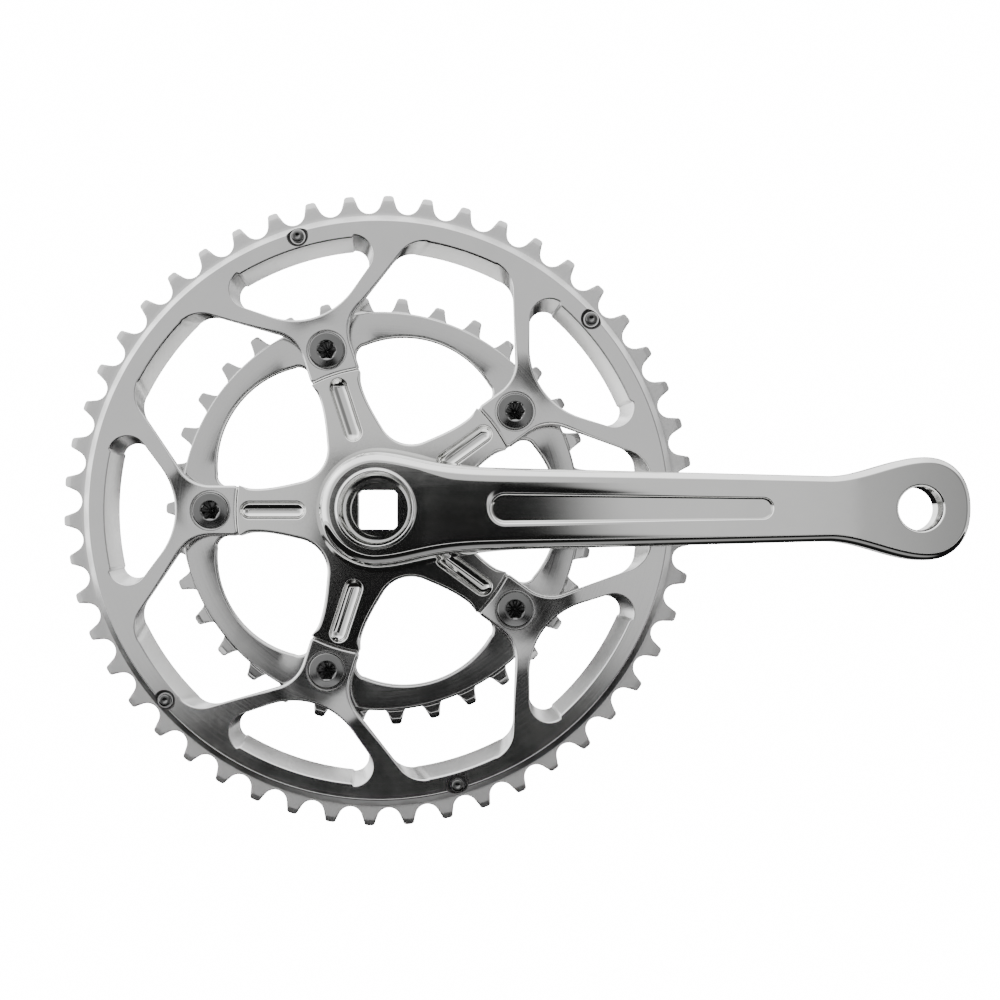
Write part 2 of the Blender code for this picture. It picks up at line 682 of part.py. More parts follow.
def build_spider(parts, cutters, hole_cutters):
    """Build the spider: hub, five grooved arms and the thin tabs that carry the rings."""
    spider = flat_plate("spider", [spider_outline()], SPIDER_BACK, SPIDER_FRONT, parts)
    tab_loops = [spider_tab_outline(degrees) for degrees in bolt_angles()]
    tabs = flat_plate("spider_tabs", tab_loops, SPIDER_BACK, SPIDER_TAB_FRONT, cutters)
    join(spider, tabs)
    centre = Vector((0.0, 0.0))
    hub_profile = (
        (0.0, SPIDER_FRONT - CUTTER_OVERRUN),
        (SPIDER_HUB_RADIUS, SPIDER_FRONT - CUTTER_OVERRUN),
        (SPIDER_HUB_RADIUS, SPIDER_HUB_BACK),
        (0.0, SPIDER_HUB_BACK),
    )
    join(spider, turned_piece("spider_hub", hub_profile, HUB_SEGMENTS, centre, cutters))
    bore_profile = (
        (0.0, SPIDER_FRONT + CUTTER_OVERRUN),
        (SPIDER_BORE_RADIUS, SPIDER_FRONT + CUTTER_OVERRUN),
        (SPIDER_BORE_RADIUS, SPIDER_HUB_BACK - CUTTER_OVERRUN),
        (0.0, SPIDER_HUB_BACK - CUTTER_OVERRUN),
    )
    cut(spider, turned_piece("spider_bore", bore_profile, HUB_SEGMENTS, centre, cutters))
    for hole in hole_cutters:
        cut(spider, hole)
    for index, degrees in enumerate(bolt_angles()):
        cut(spider, spider_groove_cutter(f"spider_groove_{index + 1}", degrees, cutters))
    merge_flat_faces(spider)
    return spider


def spider_groove_cutter(name, degrees, cutters):
    """Make the round-ended rod that cuts the groove along one spider arm."""
    start = GROOVE_INNER_RADIUS + GROOVE_BALL_RADIUS
    end = GROOVE_OUTER_RADIUS - GROOVE_BALL_RADIUS
    outer_end = arc_points(Vector((0.0, end)), GROOVE_BALL_RADIUS, 90.0, 0.0, 5)
    inner_end = arc_points(Vector((0.0, start)), GROOVE_BALL_RADIUS, 0.0, -90.0, 5)
    profile = [(abs(point.x), point.y) for point in outer_end + inner_end]
    rod = turned_piece(name, profile, PIN_SEGMENTS, Vector((0.0, 0.0)), cutters)
    lay_down = Matrix.Rotation(math.radians(90.0), 4, "Y")
    turn = Matrix.Rotation(math.radians(degrees), 4, "Z")
    lift = Matrix.Translation((0.0, 0.0, SPIDER_FRONT + GROOVE_CENTRE_LIFT))
    rod.matrix_world = UPRIGHT @ lift @ turn @ lay_down
    return rod


def arm_face_height(along):
    """Return the height of the crank arm's outer face at a distance along it."""
    place = (along - FACE_SLOPE_START) / (FACE_SLOPE_END - FACE_SLOPE_START)
    return BOSS_FACE + (EYE_FACE - BOSS_FACE) * min(max(place, 0.0), 1.0)


def arm_back_height(along):
    """Return the height of the crank arm's inner face at a distance along it."""
    step = smooth_step((along - BACK_LIFT_START) / (BACK_LIFT_STEP_END - BACK_LIFT_START))
    place = (along - BACK_LIFT_START) / (BACK_LIFT_END - BACK_LIFT_START)
    rise = EYE_BACK - BOSS_BASE - BACK_LIFT_STEP
    return BOSS_BASE + BACK_LIFT_STEP * step + rise * min(max(place, 0.0), 1.0)


def arm_half_width(along):
    """Return half the crank arm's width at a distance along it, outboard of the boss centre."""
    neck = (BOSS_RADIUS - ARM_ROOT_HALF_WIDTH) * math.exp(-((along / NECK_LENGTH) ** 2))
    shaft = ARM_ROOT_HALF_WIDTH - ARM_TAPER * min(along, WAIST_X) + neck
    flare = smooth_step((along - WAIST_X) / (EYE_WIDEST_X - WAIST_X))
    return shaft + (EYE_HALF_WIDTH - shaft) * flare


def arm_upper_outline():
    """Return the upper half of the crank arm's outline, from the boss's far side to the eye's tip."""
    centre = Vector((0.0, 0.0))
    boss = arc_points(centre, BOSS_RADIUS, 180.0, 90.0, 15)
    shaft = [Vector((place * MM, arm_half_width(place * MM))) for place in ARM_STATIONS]
    eye = []
    for step in range(EYE_STEPS + 1):
        angle = math.radians(90.0 * (1.0 - step / EYE_STEPS))
        across = (EYE_TIP_X - EYE_WIDEST_X) * max(math.cos(angle), 0.0) ** EYE_ROUNDNESS
        up = EYE_HALF_WIDTH * math.sin(angle) ** EYE_ROUNDNESS
        eye.append(Vector((EYE_WIDEST_X + across, up)))
    eye[-1].y = 0.0
    return boss + shaft + eye


def outline_normals(outline):
    """Return the outward direction at each point of a half outline that starts and ends on X."""
    normals = []
    for index, point in enumerate(outline):
        before = outline[index - 1] if index > 0 else Vector((outline[1].x, -outline[1].y))
        after = outline[index + 1] if index < len(outline) - 1 else Vector(
            (outline[-2].x, -outline[-2].y)
        )
        along = after - before
        normals.append(Vector((-along.y, along.x)).normalized())
    return normals


def arm_skin(outline, normals, inset, height_of):
    """Return the upper half of one ring of the arm, inset from the outline."""
    ring = []
    for point, normal in zip(outline, normals):
        moved = point - normal * inset(point.x)
        ring.append(Vector((moved.x, moved.y, height_of(moved.x))))
    return ring


def arm_bevel_width(along):
    """Return the width of the rounded bevel around the arm's outer face."""
    place = smooth_step(along / WAIST_X)
    return BOSS_BEVEL_WIDTH + (EYE_BEVEL_WIDTH - BOSS_BEVEL_WIDTH) * place


def arm_base_share(along):
    """Return 1 at the boss, where the base flares out, and 0 along the free arm."""
    return 1.0 - smooth_step((along - BASE_FLARE_START) / (BASE_FLARE_END - BASE_FLARE_START))


def arm_rings(outline):
    """Return the arm's rings from its inner face to its outer face."""
    normals = outline_normals(outline)
    rings = []
    for inset_share, lift_share in BACK_ROUND_SHARES:
        rings.append(arm_skin(
            outline,
            normals,
            lambda along, share=inset_share: (
                BACK_EDGE_ROUND * share * (1.0 - arm_base_share(along))
                - BASE_FLARE * arm_base_share(along)
                * (BASE_FLARE_SIDE + (1.0 - BASE_FLARE_SIDE) * share)
            ),
            lambda along, share=lift_share: arm_back_height(along) + BACK_EDGE_ROUND * share,
        ))
    for degrees in BEVEL_ANGLES:
        angle = math.radians(degrees)
        rings.append(arm_skin(
            outline,
            normals,
            lambda along, share=1.0 - math.cos(angle): arm_bevel_width(along) * share,
            lambda along, share=1.0 - math.sin(angle): arm_face_height(along) - BEVEL_DROP * share,
        ))
    return rings


def strip_lofted_arm(name, rings, parts):
    """Join mirrored half rings with a skin and close both faces with strips across the arm."""
    half = len(rings[0])
    count = 2 * half - 2
    vertices = []
    for ring in rings:
        vertices += ring
        vertices += [Vector((point.x, -point.y, point.z)) for point in reversed(ring[1:-1])]
    faces = []
    for level in range(len(rings) - 1):
        lower = level * count
        upper = lower + count
        for index in range(count):
            following = (index + 1) % count
            faces.append((lower + following, lower + index, upper + index))
            faces.append((lower + following, upper + index, upper + following))
    for level, outward in ((0, False), (len(rings) - 1, True)):
        first = level * count
        for index in range(half - 1):
            near_up = first + index
            far_up = first + index + 1
            near_down = first + (count - index) % count
            far_down = first + count - index - 1
            strip = [near_up, far_up, far_down, near_down]
            strip = [corner for place, corner in enumerate(strip) if corner not in strip[:place]]
            faces.append(tuple(reversed(strip)) if outward else tuple(strip))
    return mesh_object(name, vertices, faces, parts)


def arm_slot_cutter(cutters):
    """Make the cutter for the long tapered slot in the arm's outer face."""
    rings = []
    for inset, lift in ((SLOT_WALL_INSET, -SLOT_DEPTH), (-SLOT_WALL_INSET / 2.0, CUTTER_OVERRUN)):
        start_radius = SLOT_START_HALF_WIDTH - inset
        end_radius = SLOT_END_HALF_WIDTH - inset
        start_centre = Vector((SLOT_START_X + SLOT_START_HALF_WIDTH, 0.0))
        end_centre = Vector((SLOT_END_X - SLOT_END_HALF_WIDTH, 0.0))
        ends = arc_points(end_centre, end_radius, -90.0, 90.0, 9)
        ends += arc_points(start_centre, start_radius, 90.0, 270.0, 9)
        rings.append([
            Vector((point.x, point.y, arm_face_height(point.x) + lift)) for point in ends
        ])
    return loft("arm_slot", rings, cutters)


def square_socket_cutter(cutters):
    """Make the tapered square cutter, wider at its inboard end, with its corners cut off."""
    rings = []
    for height in (-CUTTER_OVERRUN, SQUARE_TOP_HEIGHT + CUTTER_OVERRUN):
        growth = (SQUARE_TOP_HEIGHT - height) * SQUARE_TAPER
        flat = SQUARE_HALF_WIDTH + growth
        corner = SQUARE_CORNER_HALF_FLAT + growth
        ring = []
        for quarter in range(4):
            for point in (Vector((flat, -corner)), Vector((flat, corner))):
                turned = Matrix.Rotation(math.radians(90.0 * quarter), 2) @ point
                ring.append(Vector((turned.x, turned.y, height)))
        rings.append(ring)
    return loft("square_socket", rings, cutters)


def build_crank_arm(parts, cutters):
    """Build the crank arm: boss, arm, pedal eye, collar, spigot, bores and slot."""
    arm = strip_lofted_arm("crank_arm", arm_rings(arm_upper_outline()), parts)
    centre = Vector((0.0, 0.0))
    spigot_profile = (
        (0.0, SPIGOT_TOP),
        (SPIGOT_RADIUS, SPIGOT_TOP),
        (SPIGOT_RADIUS, COLLAR_EDGE),
        (SPIGOT_RADIUS - COLLAR_EDGE, 0.0),
        (0.0, 0.0),
    )
    join(arm, turned_piece("arm_spigot", spigot_profile, HUB_SEGMENTS, centre, cutters))
    collar_profile = (
        (0.0, COLLAR_FACE),
        (COLLAR_RADIUS - COLLAR_EDGE, COLLAR_FACE),
        (COLLAR_RADIUS, COLLAR_FACE - COLLAR_EDGE),
        (COLLAR_RADIUS, BOSS_FACE - CUTTER_OVERRUN),
        (0.0, BOSS_FACE - CUTTER_OVERRUN),
    )
    join(arm, turned_piece("arm_collar", collar_profile, BORE_SEGMENTS, centre, cutters))
    mouth_depth = EXTRACTOR_MOUTH_RADIUS - EXTRACTOR_THREAD_RADIUS
    bore_profile = (
        (0.0, COLLAR_FACE + CUTTER_OVERRUN),
        (EXTRACTOR_MOUTH_RADIUS, COLLAR_FACE + CUTTER_OVERRUN),
        (EXTRACTOR_MOUTH_RADIUS, COLLAR_FACE),
        (EXTRACTOR_THREAD_RADIUS, COLLAR_FACE - mouth_depth),
        (EXTRACTOR_THREAD_RADIUS, EXTRACTOR_DEPTH_HEIGHT),
        (EXTRACTOR_RUNOUT_RADIUS, EXTRACTOR_DEPTH_HEIGHT),
        (EXTRACTOR_RUNOUT_RADIUS, BOLT_SEAT_HEIGHT),
        (BOLT_SEAT_INNER_RADIUS, BOLT_SEAT_HEIGHT),
        (BOLT_SEAT_INNER_RADIUS, SQUARE_TOP_HEIGHT),
        (0.0, SQUARE_TOP_HEIGHT),
    )
    cut(arm, turned_piece("extractor_bore", bore_profile, BORE_SEGMENTS, centre, cutters))
    cut(arm, square_socket_cutter(cutters))
    cut(arm, arm_slot_cutter(cutters))
    mouth = PEDAL_MOUTH_RADIUS - PEDAL_HOLE_RADIUS
    pedal_profile = (
        (0.0, EYE_FACE + CUTTER_OVERRUN),
        (PEDAL_MOUTH_RADIUS + CUTTER_OVERRUN, EYE_FACE + CUTTER_OVERRUN),
        (PEDAL_HOLE_RADIUS, EYE_FACE - mouth),
        (PEDAL_HOLE_RADIUS, EYE_BACK + mouth),
        (PEDAL_MOUTH_RADIUS + CUTTER_OVERRUN, EYE_BACK - CUTTER_OVERRUN),
        (0.0, EYE_BACK - CUTTER_OVERRUN),
    )
    eye_centre = Vector((CRANK_LENGTH, 0.0))
    cut(arm, turned_piece("pedal_hole", pedal_profile, PEDAL_HOLE_SEGMENTS, eye_centre, cutters))
    merge_flat_faces(arm)
    return arm


def build_chainring_bolt(name, degrees, parts, cutters):
    """Build one chainring bolt: chamfered head with a hexagonal socket, and its shank."""
    place = polar(BOLT_CIRCLE_RADIUS, degrees)
    head_back = HEAD_RECESS_FLOOR + REST_GAP
    profile = (
        (0.0, HEAD_FACE),
        (HEAD_RADIUS - HEAD_CHAMFER, HEAD_FACE),
        (HEAD_RADIUS, HEAD_FACE - HEAD_CHAMFER),
        (HEAD_RADIUS, head_back),
        (SHANK_RADIUS, head_back),
        (SHANK_RADIUS, SHANK_END),
        (0.0, SHANK_END),
    )
    bolt = turned_piece(name, profile, HARDWARE_SEGMENTS, place, parts)
    socket_profile = (
        (0.0, HEAD_FACE + CUTTER_OVERRUN),
        (SOCKET_RADIUS, HEAD_FACE + CUTTER_OVERRUN),
        (SOCKET_RADIUS, HEAD_FACE - SOCKET_DEPTH),
        (0.0, HEAD_FACE - SOCKET_DEPTH),
    )
    cut(bolt, turned_piece(name + "_socket", socket_profile, SOCKET_SIDES, place, cutters))
    return bolt


def build_chainring_nut(name, degrees, parts, cutters):
    """Build one sleeve nut: slotted flange, sleeve and blind bore."""
    place = polar(BOLT_CIRCLE_RADIUS, degrees)
    profile = (
        (0.0, NUT_BORE_END),
        (NUT_BORE_RADIUS, NUT_BORE_END),
        (NUT_BORE_RADIUS, NUT_SLEEVE_FRONT),
        (NUT_SLEEVE_RADIUS, NUT_SLEEVE_FRONT),
        (NUT_SLEEVE_RADIUS, NUT_FLANGE_FRONT),
        (NUT_FLANGE_RADIUS, NUT_FLANGE_FRONT),
        (NUT_FLANGE_RADIUS, NUT_BACK + NUT_EDGE),
        (NUT_FLANGE_RADIUS - NUT_EDGE, NUT_BACK),
        (0.0, NUT_BACK),
    )
    nut = turned_piece(name, profile, HARDWARE_SEGMENTS, place, parts)
    reach = NUT_FLANGE_RADIUS + CUTTER_OVERRUN
    half_slot = NUT_SLOT_WIDTH / 2.0
    corners = [
        Vector((-reach, -half_slot)),
        Vector((reach, -half_slot)),
        Vector((reach, half_slot)),
        Vector((-reach, half_slot)),
    ]
    turn = Matrix.Rotation(math.radians(degrees), 2)
    rings = []
    for height in (NUT_BACK - CUTTER_OVERRUN, NUT_BACK + NUT_SLOT_DEPTH):
        ring = []
        for corner in corners:
            point = place + turn @ corner
            ring.append(Vector((point.x, point.y, height)))
        rings.append(ring)
    cut(nut, loft(name + "_slot", rings, cutters))
    return nut


def build_shift_pin(name, degrees, parts):
    """Build one riveted shift pin: dimpled head, shank and the peg that catches the chain."""
    profile = (
        (0.0, PIN_HEAD_FACE - PIN_EDGE),
        (PIN_DIMPLE_RADIUS, PIN_HEAD_FACE),
        (PIN_HEAD_RADIUS - PIN_EDGE, PIN_HEAD_FACE),
        (PIN_HEAD_RADIUS, PIN_HEAD_FACE - PIN_EDGE),
        (PIN_HEAD_RADIUS, PIN_RECESS_FLOOR + REST_GAP),
        (PIN_SHANK_RADIUS, PIN_RECESS_FLOOR + REST_GAP),
        (PIN_SHANK_RADIUS, OUTER_RING_BACK - REST_GAP),
        (PIN_PEG_RADIUS, OUTER_RING_BACK - REST_GAP),
        (PIN_PEG_RADIUS, PIN_PEG_END + PIN_EDGE),
        (PIN_PEG_RADIUS - PIN_EDGE, PIN_PEG_END),
        (0.0, PIN_PEG_END),
    )
    place = polar(SHIFT_PIN_CIRCLE, degrees)
    return turned_piece(name, profile, PIN_SEGMENTS, place, parts)


def build_drop_pin(parts):
    """Build the peg behind the arm that keeps a dropped chain from wedging."""
    profile = (
        (0.0, DROP_PIN_FACE),
        (DROP_PIN_RADIUS - PIN_EDGE, DROP_PIN_FACE),
        (DROP_PIN_RADIUS, DROP_PIN_FACE - PIN_EDGE),
        (DROP_PIN_RADIUS, OUTER_RING_FRONT + REST_GAP),
        (PIN_SHANK_RADIUS, OUTER_RING_FRONT + REST_GAP),
        (PIN_SHANK_RADIUS, OUTER_RING_BACK - REST_GAP),
        (PIN_PEG_RADIUS, OUTER_RING_BACK - REST_GAP),
        (PIN_PEG_RADIUS, DROP_PIN_HEAD_BACK + PIN_EDGE),
        (PIN_PEG_RADIUS - PIN_EDGE, DROP_PIN_HEAD_BACK),
        (0.0, DROP_PIN_HEAD_BACK),
    )
    place = polar(DROP_PIN_CIRCLE, 0.0)
    return turned_piece("chain_drop_pin", profile, PIN_SEGMENTS, place, parts)


def build_crankset():
    """Build every part of the crankset with its material."""
    remove_scene_objects()
    parts = new_collection("bicycle_crankset")
    cutters = new_collection("cutters")
    cutters.hide_render = True

    arm_aluminium = principled_material("polished_arm_aluminium", (0.82, 0.82, 0.82), 1.0, 0.16)
    spider_aluminium = principled_material("polished_spider_aluminium", (0.8, 0.8, 0.8), 1.0, 0.2)
    outer_aluminium = principled_material("satin_outer_ring_aluminium", (0.75, 0.75, 0.75), 1.0, 0.28)
    inner_aluminium = principled_material("satin_inner_ring_aluminium", (0.72, 0.72, 0.72), 1.0, 0.3)
    bolt_steel = principled_material("dark_bolt_steel", (0.13, 0.13, 0.13), 1.0, 0.35)
    nut_steel = principled_material("plated_nut_steel", (0.45, 0.45, 0.45), 1.0, 0.3)
    pin_steel = principled_material("shift_pin_steel", (0.22, 0.22, 0.22), 1.0, 0.3)
    drop_pin_steel = principled_material("drop_pin_steel", (0.5, 0.5, 0.5), 1.0, 0.3)

    hole_cutters = []
    for index, degrees in enumerate(bolt_angles()):
        place = polar(BOLT_CIRCLE_RADIUS, degrees)
        hole_cutters.append(bolt_hole_cutter(f"ring_bolt_hole_{index + 1}", place, cutters))

    finish_part(build_crank_arm(parts, cutters), arm_aluminium)
    finish_part(build_spider(parts, cutters, hole_cutters), spider_aluminium)
    finish_part(build_outer_chainring(parts, cutters, hole_cutters), outer_aluminium)
    finish_part(build_inner_chainring(parts, cutters, hole_cutters), inner_aluminium)
    for index, degrees in enumerate(bolt_angles()):
        bolt = build_chainring_bolt(f"chainring_bolt_{index + 1}", degrees, parts, cutters)
        finish_part(bolt, bolt_steel)
        nut = build_chainring_nut(f"chainring_nut_{index + 1}", degrees, parts, cutters)
        finish_part(nut, nut_steel)
    for index, degrees in enumerate(SHIFT_PIN_ANGLES):
        finish_part(build_shift_pin(f"shift_pin_{index + 1}", degrees, parts), pin_steel)
    finish_part(build_drop_pin(parts), drop_pin_steel)


build_crankset()
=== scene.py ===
"""Looks of the bicycle crankset: polished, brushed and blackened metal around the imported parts.

Outlines are drawn in millimetres in the plane of the chainrings: X towards the pedal, Y up.
The third number is the height, which grows outboard along the crank axis from the boss's back.
In the scene that axis is Y with outboard at -Y, so a point (x, y, height) lies at (x, -height, y).
"""

import logging
from collections.abc import Callable
from dataclasses import dataclass, field
from enum import Enum

import bmesh
import bpy
import numpy as np
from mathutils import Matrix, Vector
from mathutils.geometry import delaunay_2d_cdt


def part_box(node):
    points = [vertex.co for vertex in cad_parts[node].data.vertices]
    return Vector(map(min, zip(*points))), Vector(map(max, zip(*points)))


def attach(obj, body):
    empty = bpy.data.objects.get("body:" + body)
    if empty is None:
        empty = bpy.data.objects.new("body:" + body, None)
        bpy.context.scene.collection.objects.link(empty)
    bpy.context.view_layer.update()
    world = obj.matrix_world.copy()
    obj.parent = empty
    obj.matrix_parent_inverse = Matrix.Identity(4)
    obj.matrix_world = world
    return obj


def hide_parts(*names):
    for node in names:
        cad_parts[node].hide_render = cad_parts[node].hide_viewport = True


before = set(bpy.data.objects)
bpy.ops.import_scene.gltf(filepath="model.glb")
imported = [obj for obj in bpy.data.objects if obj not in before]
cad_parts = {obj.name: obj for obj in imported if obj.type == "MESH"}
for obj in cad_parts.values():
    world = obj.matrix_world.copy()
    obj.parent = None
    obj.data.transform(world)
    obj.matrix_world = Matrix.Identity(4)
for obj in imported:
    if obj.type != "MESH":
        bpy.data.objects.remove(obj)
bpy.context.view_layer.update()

LOG = logging.getLogger("crankset")
MM = 0.001
BODY = "root"
BOLT_COUNT = 5
BOLT_CIRCLE = 55.0
FIRST_BOLT = 36.0
BOLT_STEP = 360.0 / BOLT_COUNT
BOLT_ANGLES = FIRST_BOLT + BOLT_STEP * np.arange(BOLT_COUNT)
SHARP_ANGLE = np.radians(34.0)
WELD_DISTANCE = 0.001 * MM
# A flat strip of this width beside a rounded edge keeps the face's shading flat.
HOLD_WIDTH = 0.15
# Distance between the points of a face that curves and of one that is flat, in millimetres.
FINE_SPACING, COARSE_SPACING = 2.2, 6.0
# Rows of a staggered grid lie this share of its spacing apart.
STAGGERED_ROW = 0.87
# A face whose normal has less than this along the crank axis is a wall.
WALL_FACING = 0.8
# Sockets of Blender's colour Mix node, which has others of the same names.
MIX_FACTOR, MIX_FIRST, MIX_SECOND, MIX_RESULT = 0, 6, 7, 2

# Slow clouds of tone and roughness are this many millimetres across.
CLOUD_SIZE = 14.0
# Cloth marks along the arm are this many times longer than they are wide.
LINE_STRETCH = 60.0
# Cutter marks are this many times deeper than the fine lines.
GRIT_DEPTH = 30.0

Heights = Callable[[np.ndarray], np.ndarray]


# ---------------------------------------------------------------- outlines


def polar(radius: float | np.ndarray, degrees: float | np.ndarray) -> np.ndarray:
    """Points at radius times (cosine, sine) of the angle from +X."""
    angle = np.radians(degrees)
    return np.stack([radius * np.cos(angle), radius * np.sin(angle)], axis=-1)


def arc(centre: np.ndarray, radius: float, start: float, end: float, count: int) -> np.ndarray:
    """Points along a circle from one angle to another, ends included."""
    return centre + polar(radius, np.linspace(start, end, count))


def circle(centre: np.ndarray, radius: float, count: int) -> np.ndarray:
    """Points once round a circle, counterclockwise."""
    return centre + polar(radius, np.arange(count) * 360.0 / count)


def turned(points: np.ndarray, degrees: float) -> np.ndarray:
    """Turn points about the crank axis by the usual rotation matrix.

    Args:
        points: the points, one to a row.
        degrees: the angle, counterclockwise.

    Returns:
        The turned points.
    """
    angle = np.radians(degrees)
    matrix = np.array([[np.cos(angle), np.sin(angle)], [-np.sin(angle), np.cos(angle)]])
    return points @ matrix


def unit(vectors: np.ndarray) -> np.ndarray:
    """Vectors divided by their lengths."""
    return vectors / np.maximum(np.linalg.norm(vectors, axis=-1, keepdims=True), 1e-12)


def smooth(value: float | np.ndarray) -> np.ndarray:
    """Ramp from 0 to 1 by three squares less two cubes, level at both ends."""
    clipped = np.clip(value, 0.0, 1.0)
    return clipped * clipped * (3.0 - 2.0 * clipped)


def bezier(corners: np.ndarray, count: int) -> np.ndarray:
    """Points on a cubic curve: its four corners weighted by the Bernstein polynomials.

    Args:
        corners: the two ends and the two handles between them.
        count: how many points.

    Returns:
        The points, ends included.
    """
    place = np.linspace(0.0, 1.0, count)[:, None]
    rest = 1.0 - place
    weights = np.hstack([rest**3, 3.0 * rest**2 * place, 3.0 * rest * place**2, place**3])
    return weights @ corners


def fillet(
    corner: np.ndarray, first: np.ndarray, second: np.ndarray, radius: float, count: int
) -> np.ndarray:
    """Arc that touches the two straight lines which leave a corner.

    Its centre lies on the line that halves the corner, at radius over the sine of half its angle.

    Args:
        corner: where the lines meet.
        first: direction from the corner along the first line.
        second: direction from the corner along the second line.
        radius: radius of the arc.
        count: how many points.

    Returns:
        The points from the first line to the second.
    """
    first, second = unit(first), unit(second)
    half = np.arccos(np.clip(first @ second, -1.0, 1.0)) / 2.0
    centre = corner + unit(first + second) * radius / np.sin(half)
    touch = np.array([first, second]) * radius / np.tan(half) + corner - centre
    start, end = np.degrees(np.arctan2(touch[:, 1], touch[:, 0]))
    sweep = (end - start + 180.0) % 360.0 - 180.0
    return arc(centre, radius, start, start + sweep, count)


def line_to_circle(point: np.ndarray, slope: float, radius: float) -> np.ndarray:
    """Where a line meets a circle about the origin at its right, by the quadratic rule.

    Args:
        point: any point on the line.
        slope: the line's rise for each step along X.
        radius: radius of the circle.

    Returns:
        The point where they meet.
    """
    lift = point[1] - slope * point[0]
    square = 1.0 + slope**2
    root = np.sqrt((slope * lift) ** 2 - square * (lift**2 - radius**2))
    across = (root - slope * lift) / square
    return np.array([across, lift + slope * across])


def tab_tip(half_width: float, radius: float, corner_radius: float) -> np.ndarray:
    """End of a bolt tab: an arc about the crank axis and a rounded corner.

    Args:
        half_width: half the tab's width.
        radius: radius of its end about the crank axis.
        corner_radius: radius of its corner.

    Returns:
        The points from the bolt's line to the tab's side.
    """
    corner = np.array([half_width, np.sqrt(radius**2 - half_width**2)])
    along_end = np.array([-corner[1], corner[0]])
    rounded = fillet(corner, along_end, np.array([0.0, 1.0]), corner_radius, 9)
    stop = np.degrees(np.arctan2(rounded[0, 1], rounded[0, 0]))
    return np.concatenate([polar(radius, np.linspace(90.0, stop, 7)[:-1]), rounded])


def five_fold(half: np.ndarray) -> np.ndarray:
    """Whole outline, counterclockwise, from its half between an upright bolt and the next lobe."""
    one = np.concatenate([half[::-1], half[1:-1] * (-1.0, 1.0)])
    return np.concatenate([turned(one, degrees - 90.0) for degrees in BOLT_ANGLES])


def loop_normals(loop: np.ndarray) -> np.ndarray:
    """Directions to the left of a closed loop: its two edge directions averaged and turned a quarter.

    Args:
        loop: the loop's points in order.

    Returns:
        One unit direction for each point.
    """
    arriving = unit(loop - np.roll(loop, 1, axis=0))
    leaving = unit(np.roll(loop, -1, axis=0) - loop)
    along = unit(arriving + leaving)
    return np.column_stack([-along[:, 1], along[:, 0]])


def inside(points: np.ndarray, loop: np.ndarray) -> np.ndarray:
    """Whether each point is inside a loop: a line towards +X crosses an odd number of its edges.

    Args:
        points: the points to test.
        loop: the loop's points in order.

    Returns:
        One truth value for each point.
    """
    across, up = points[:, :1], points[:, 1:2]
    start, end = loop, np.roll(loop, -1, axis=0)
    spans = (start[:, 1] > up) != (end[:, 1] > up)
    rise = end[:, 1] - start[:, 1]
    rise = np.where(rise == 0.0, 1.0, rise)
    crossing = start[:, 0] + (up - start[:, 1]) * (end[:, 0] - start[:, 0]) / rise
    return (spans & (across < crossing)).sum(axis=1) % 2 == 1


def level(height: float) -> Heights:
    """A height that is the same everywhere."""
    return lambda points: np.full(points.shape[:-1], height)


# ---------------------------------------------------------------- surfaces


@dataclass
class Edge:
    """How a plate's edge is rounded: radii in millimetres at its front and back."""

    front: float | np.ndarray = 0.3
    back: float = 0.25
    steps: int = 6


def edge_rings(
    front: np.ndarray, back: np.ndarray, face: Heights, base: Heights, side: float, edge: Edge
) -> np.ndarray:
    """Rings that carry a rounded edge profile round a closed outline.

    Each ring lies on the straight wall between the front and back outlines, at a share of its depth,
    and is moved into the material by the radius times one less the sine of the profile's angle,
    while it drops by the radius times one less the cosine.

    Args:
        front: outline at the front face, counterclockwise.
        back: matching outline at the back face.
        face: height of the front face.
        base: height of the back face.
        side: 1 where the material is inside the outline, -1 where it is outside.
        edge: radii of the profile.

    Returns:
        The rings from the front face to the back face, as (rings, points, 3).
    """
    normals = loop_normals(front) * side
    radius = np.broadcast_to(edge.front, len(front))[:, None]
    angles = np.linspace(0.0, np.pi / 2.0, edge.steps)[:, None, None]
    hold = front + normals * (radius + HOLD_WIDTH)
    top = face(front + normals * radius)[:, None]
    low = base(back)[:, None]
    depth = top - low
    drop = radius * (1.0 - np.cos(angles))
    inset = radius * (1.0 - np.sin(angles))
    fronts = front + (back - front) * drop / depth + normals * inset
    parts = [np.column_stack([hold, face(hold)])[None]]
    parts.append(np.concatenate([fronts, top - drop], axis=2))
    if edge.back > 0.0:
        back_normals = loop_normals(back) * side
        rise = edge.back * (1.0 - np.sin(angles))
        tuck = edge.back * (1.0 - np.cos(angles))
        backs = back + (front - back) * rise / depth + back_normals * tuck
        parts.append(np.concatenate([backs, low + rise], axis=2))
        last = back + back_normals * (edge.back + HOLD_WIDTH)
    else:
        last = back
    parts.append(np.column_stack([last, base(last)])[None])
    return np.concatenate(parts)


def swept_rings(centre: np.ndarray, profile: np.ndarray, angles: np.ndarray) -> np.ndarray:
    """Rings of a turned shape: each profile point's radius swept round the centre at its height.

    Args:
        centre: the point that the shape is turned about.
        profile: radius and height of each ring.
        angles: the angle of each point on a ring, in degrees.

    Returns:
        The rings, as (rings, points, 3).
    """
    rings = centre + polar(profile[:, :1], angles[None, :])
    heights = np.broadcast_to(profile[:, 1:2], (len(profile), len(angles)))
    return np.concatenate([rings, heights[:, :, None]], axis=2)


def turned_rings(centre: np.ndarray, profile: np.ndarray, count: int) -> np.ndarray:
    """Rings of a turned shape with a given count of evenly spaced points on each."""
    return swept_rings(centre, profile, np.arange(count) * 360.0 / count)


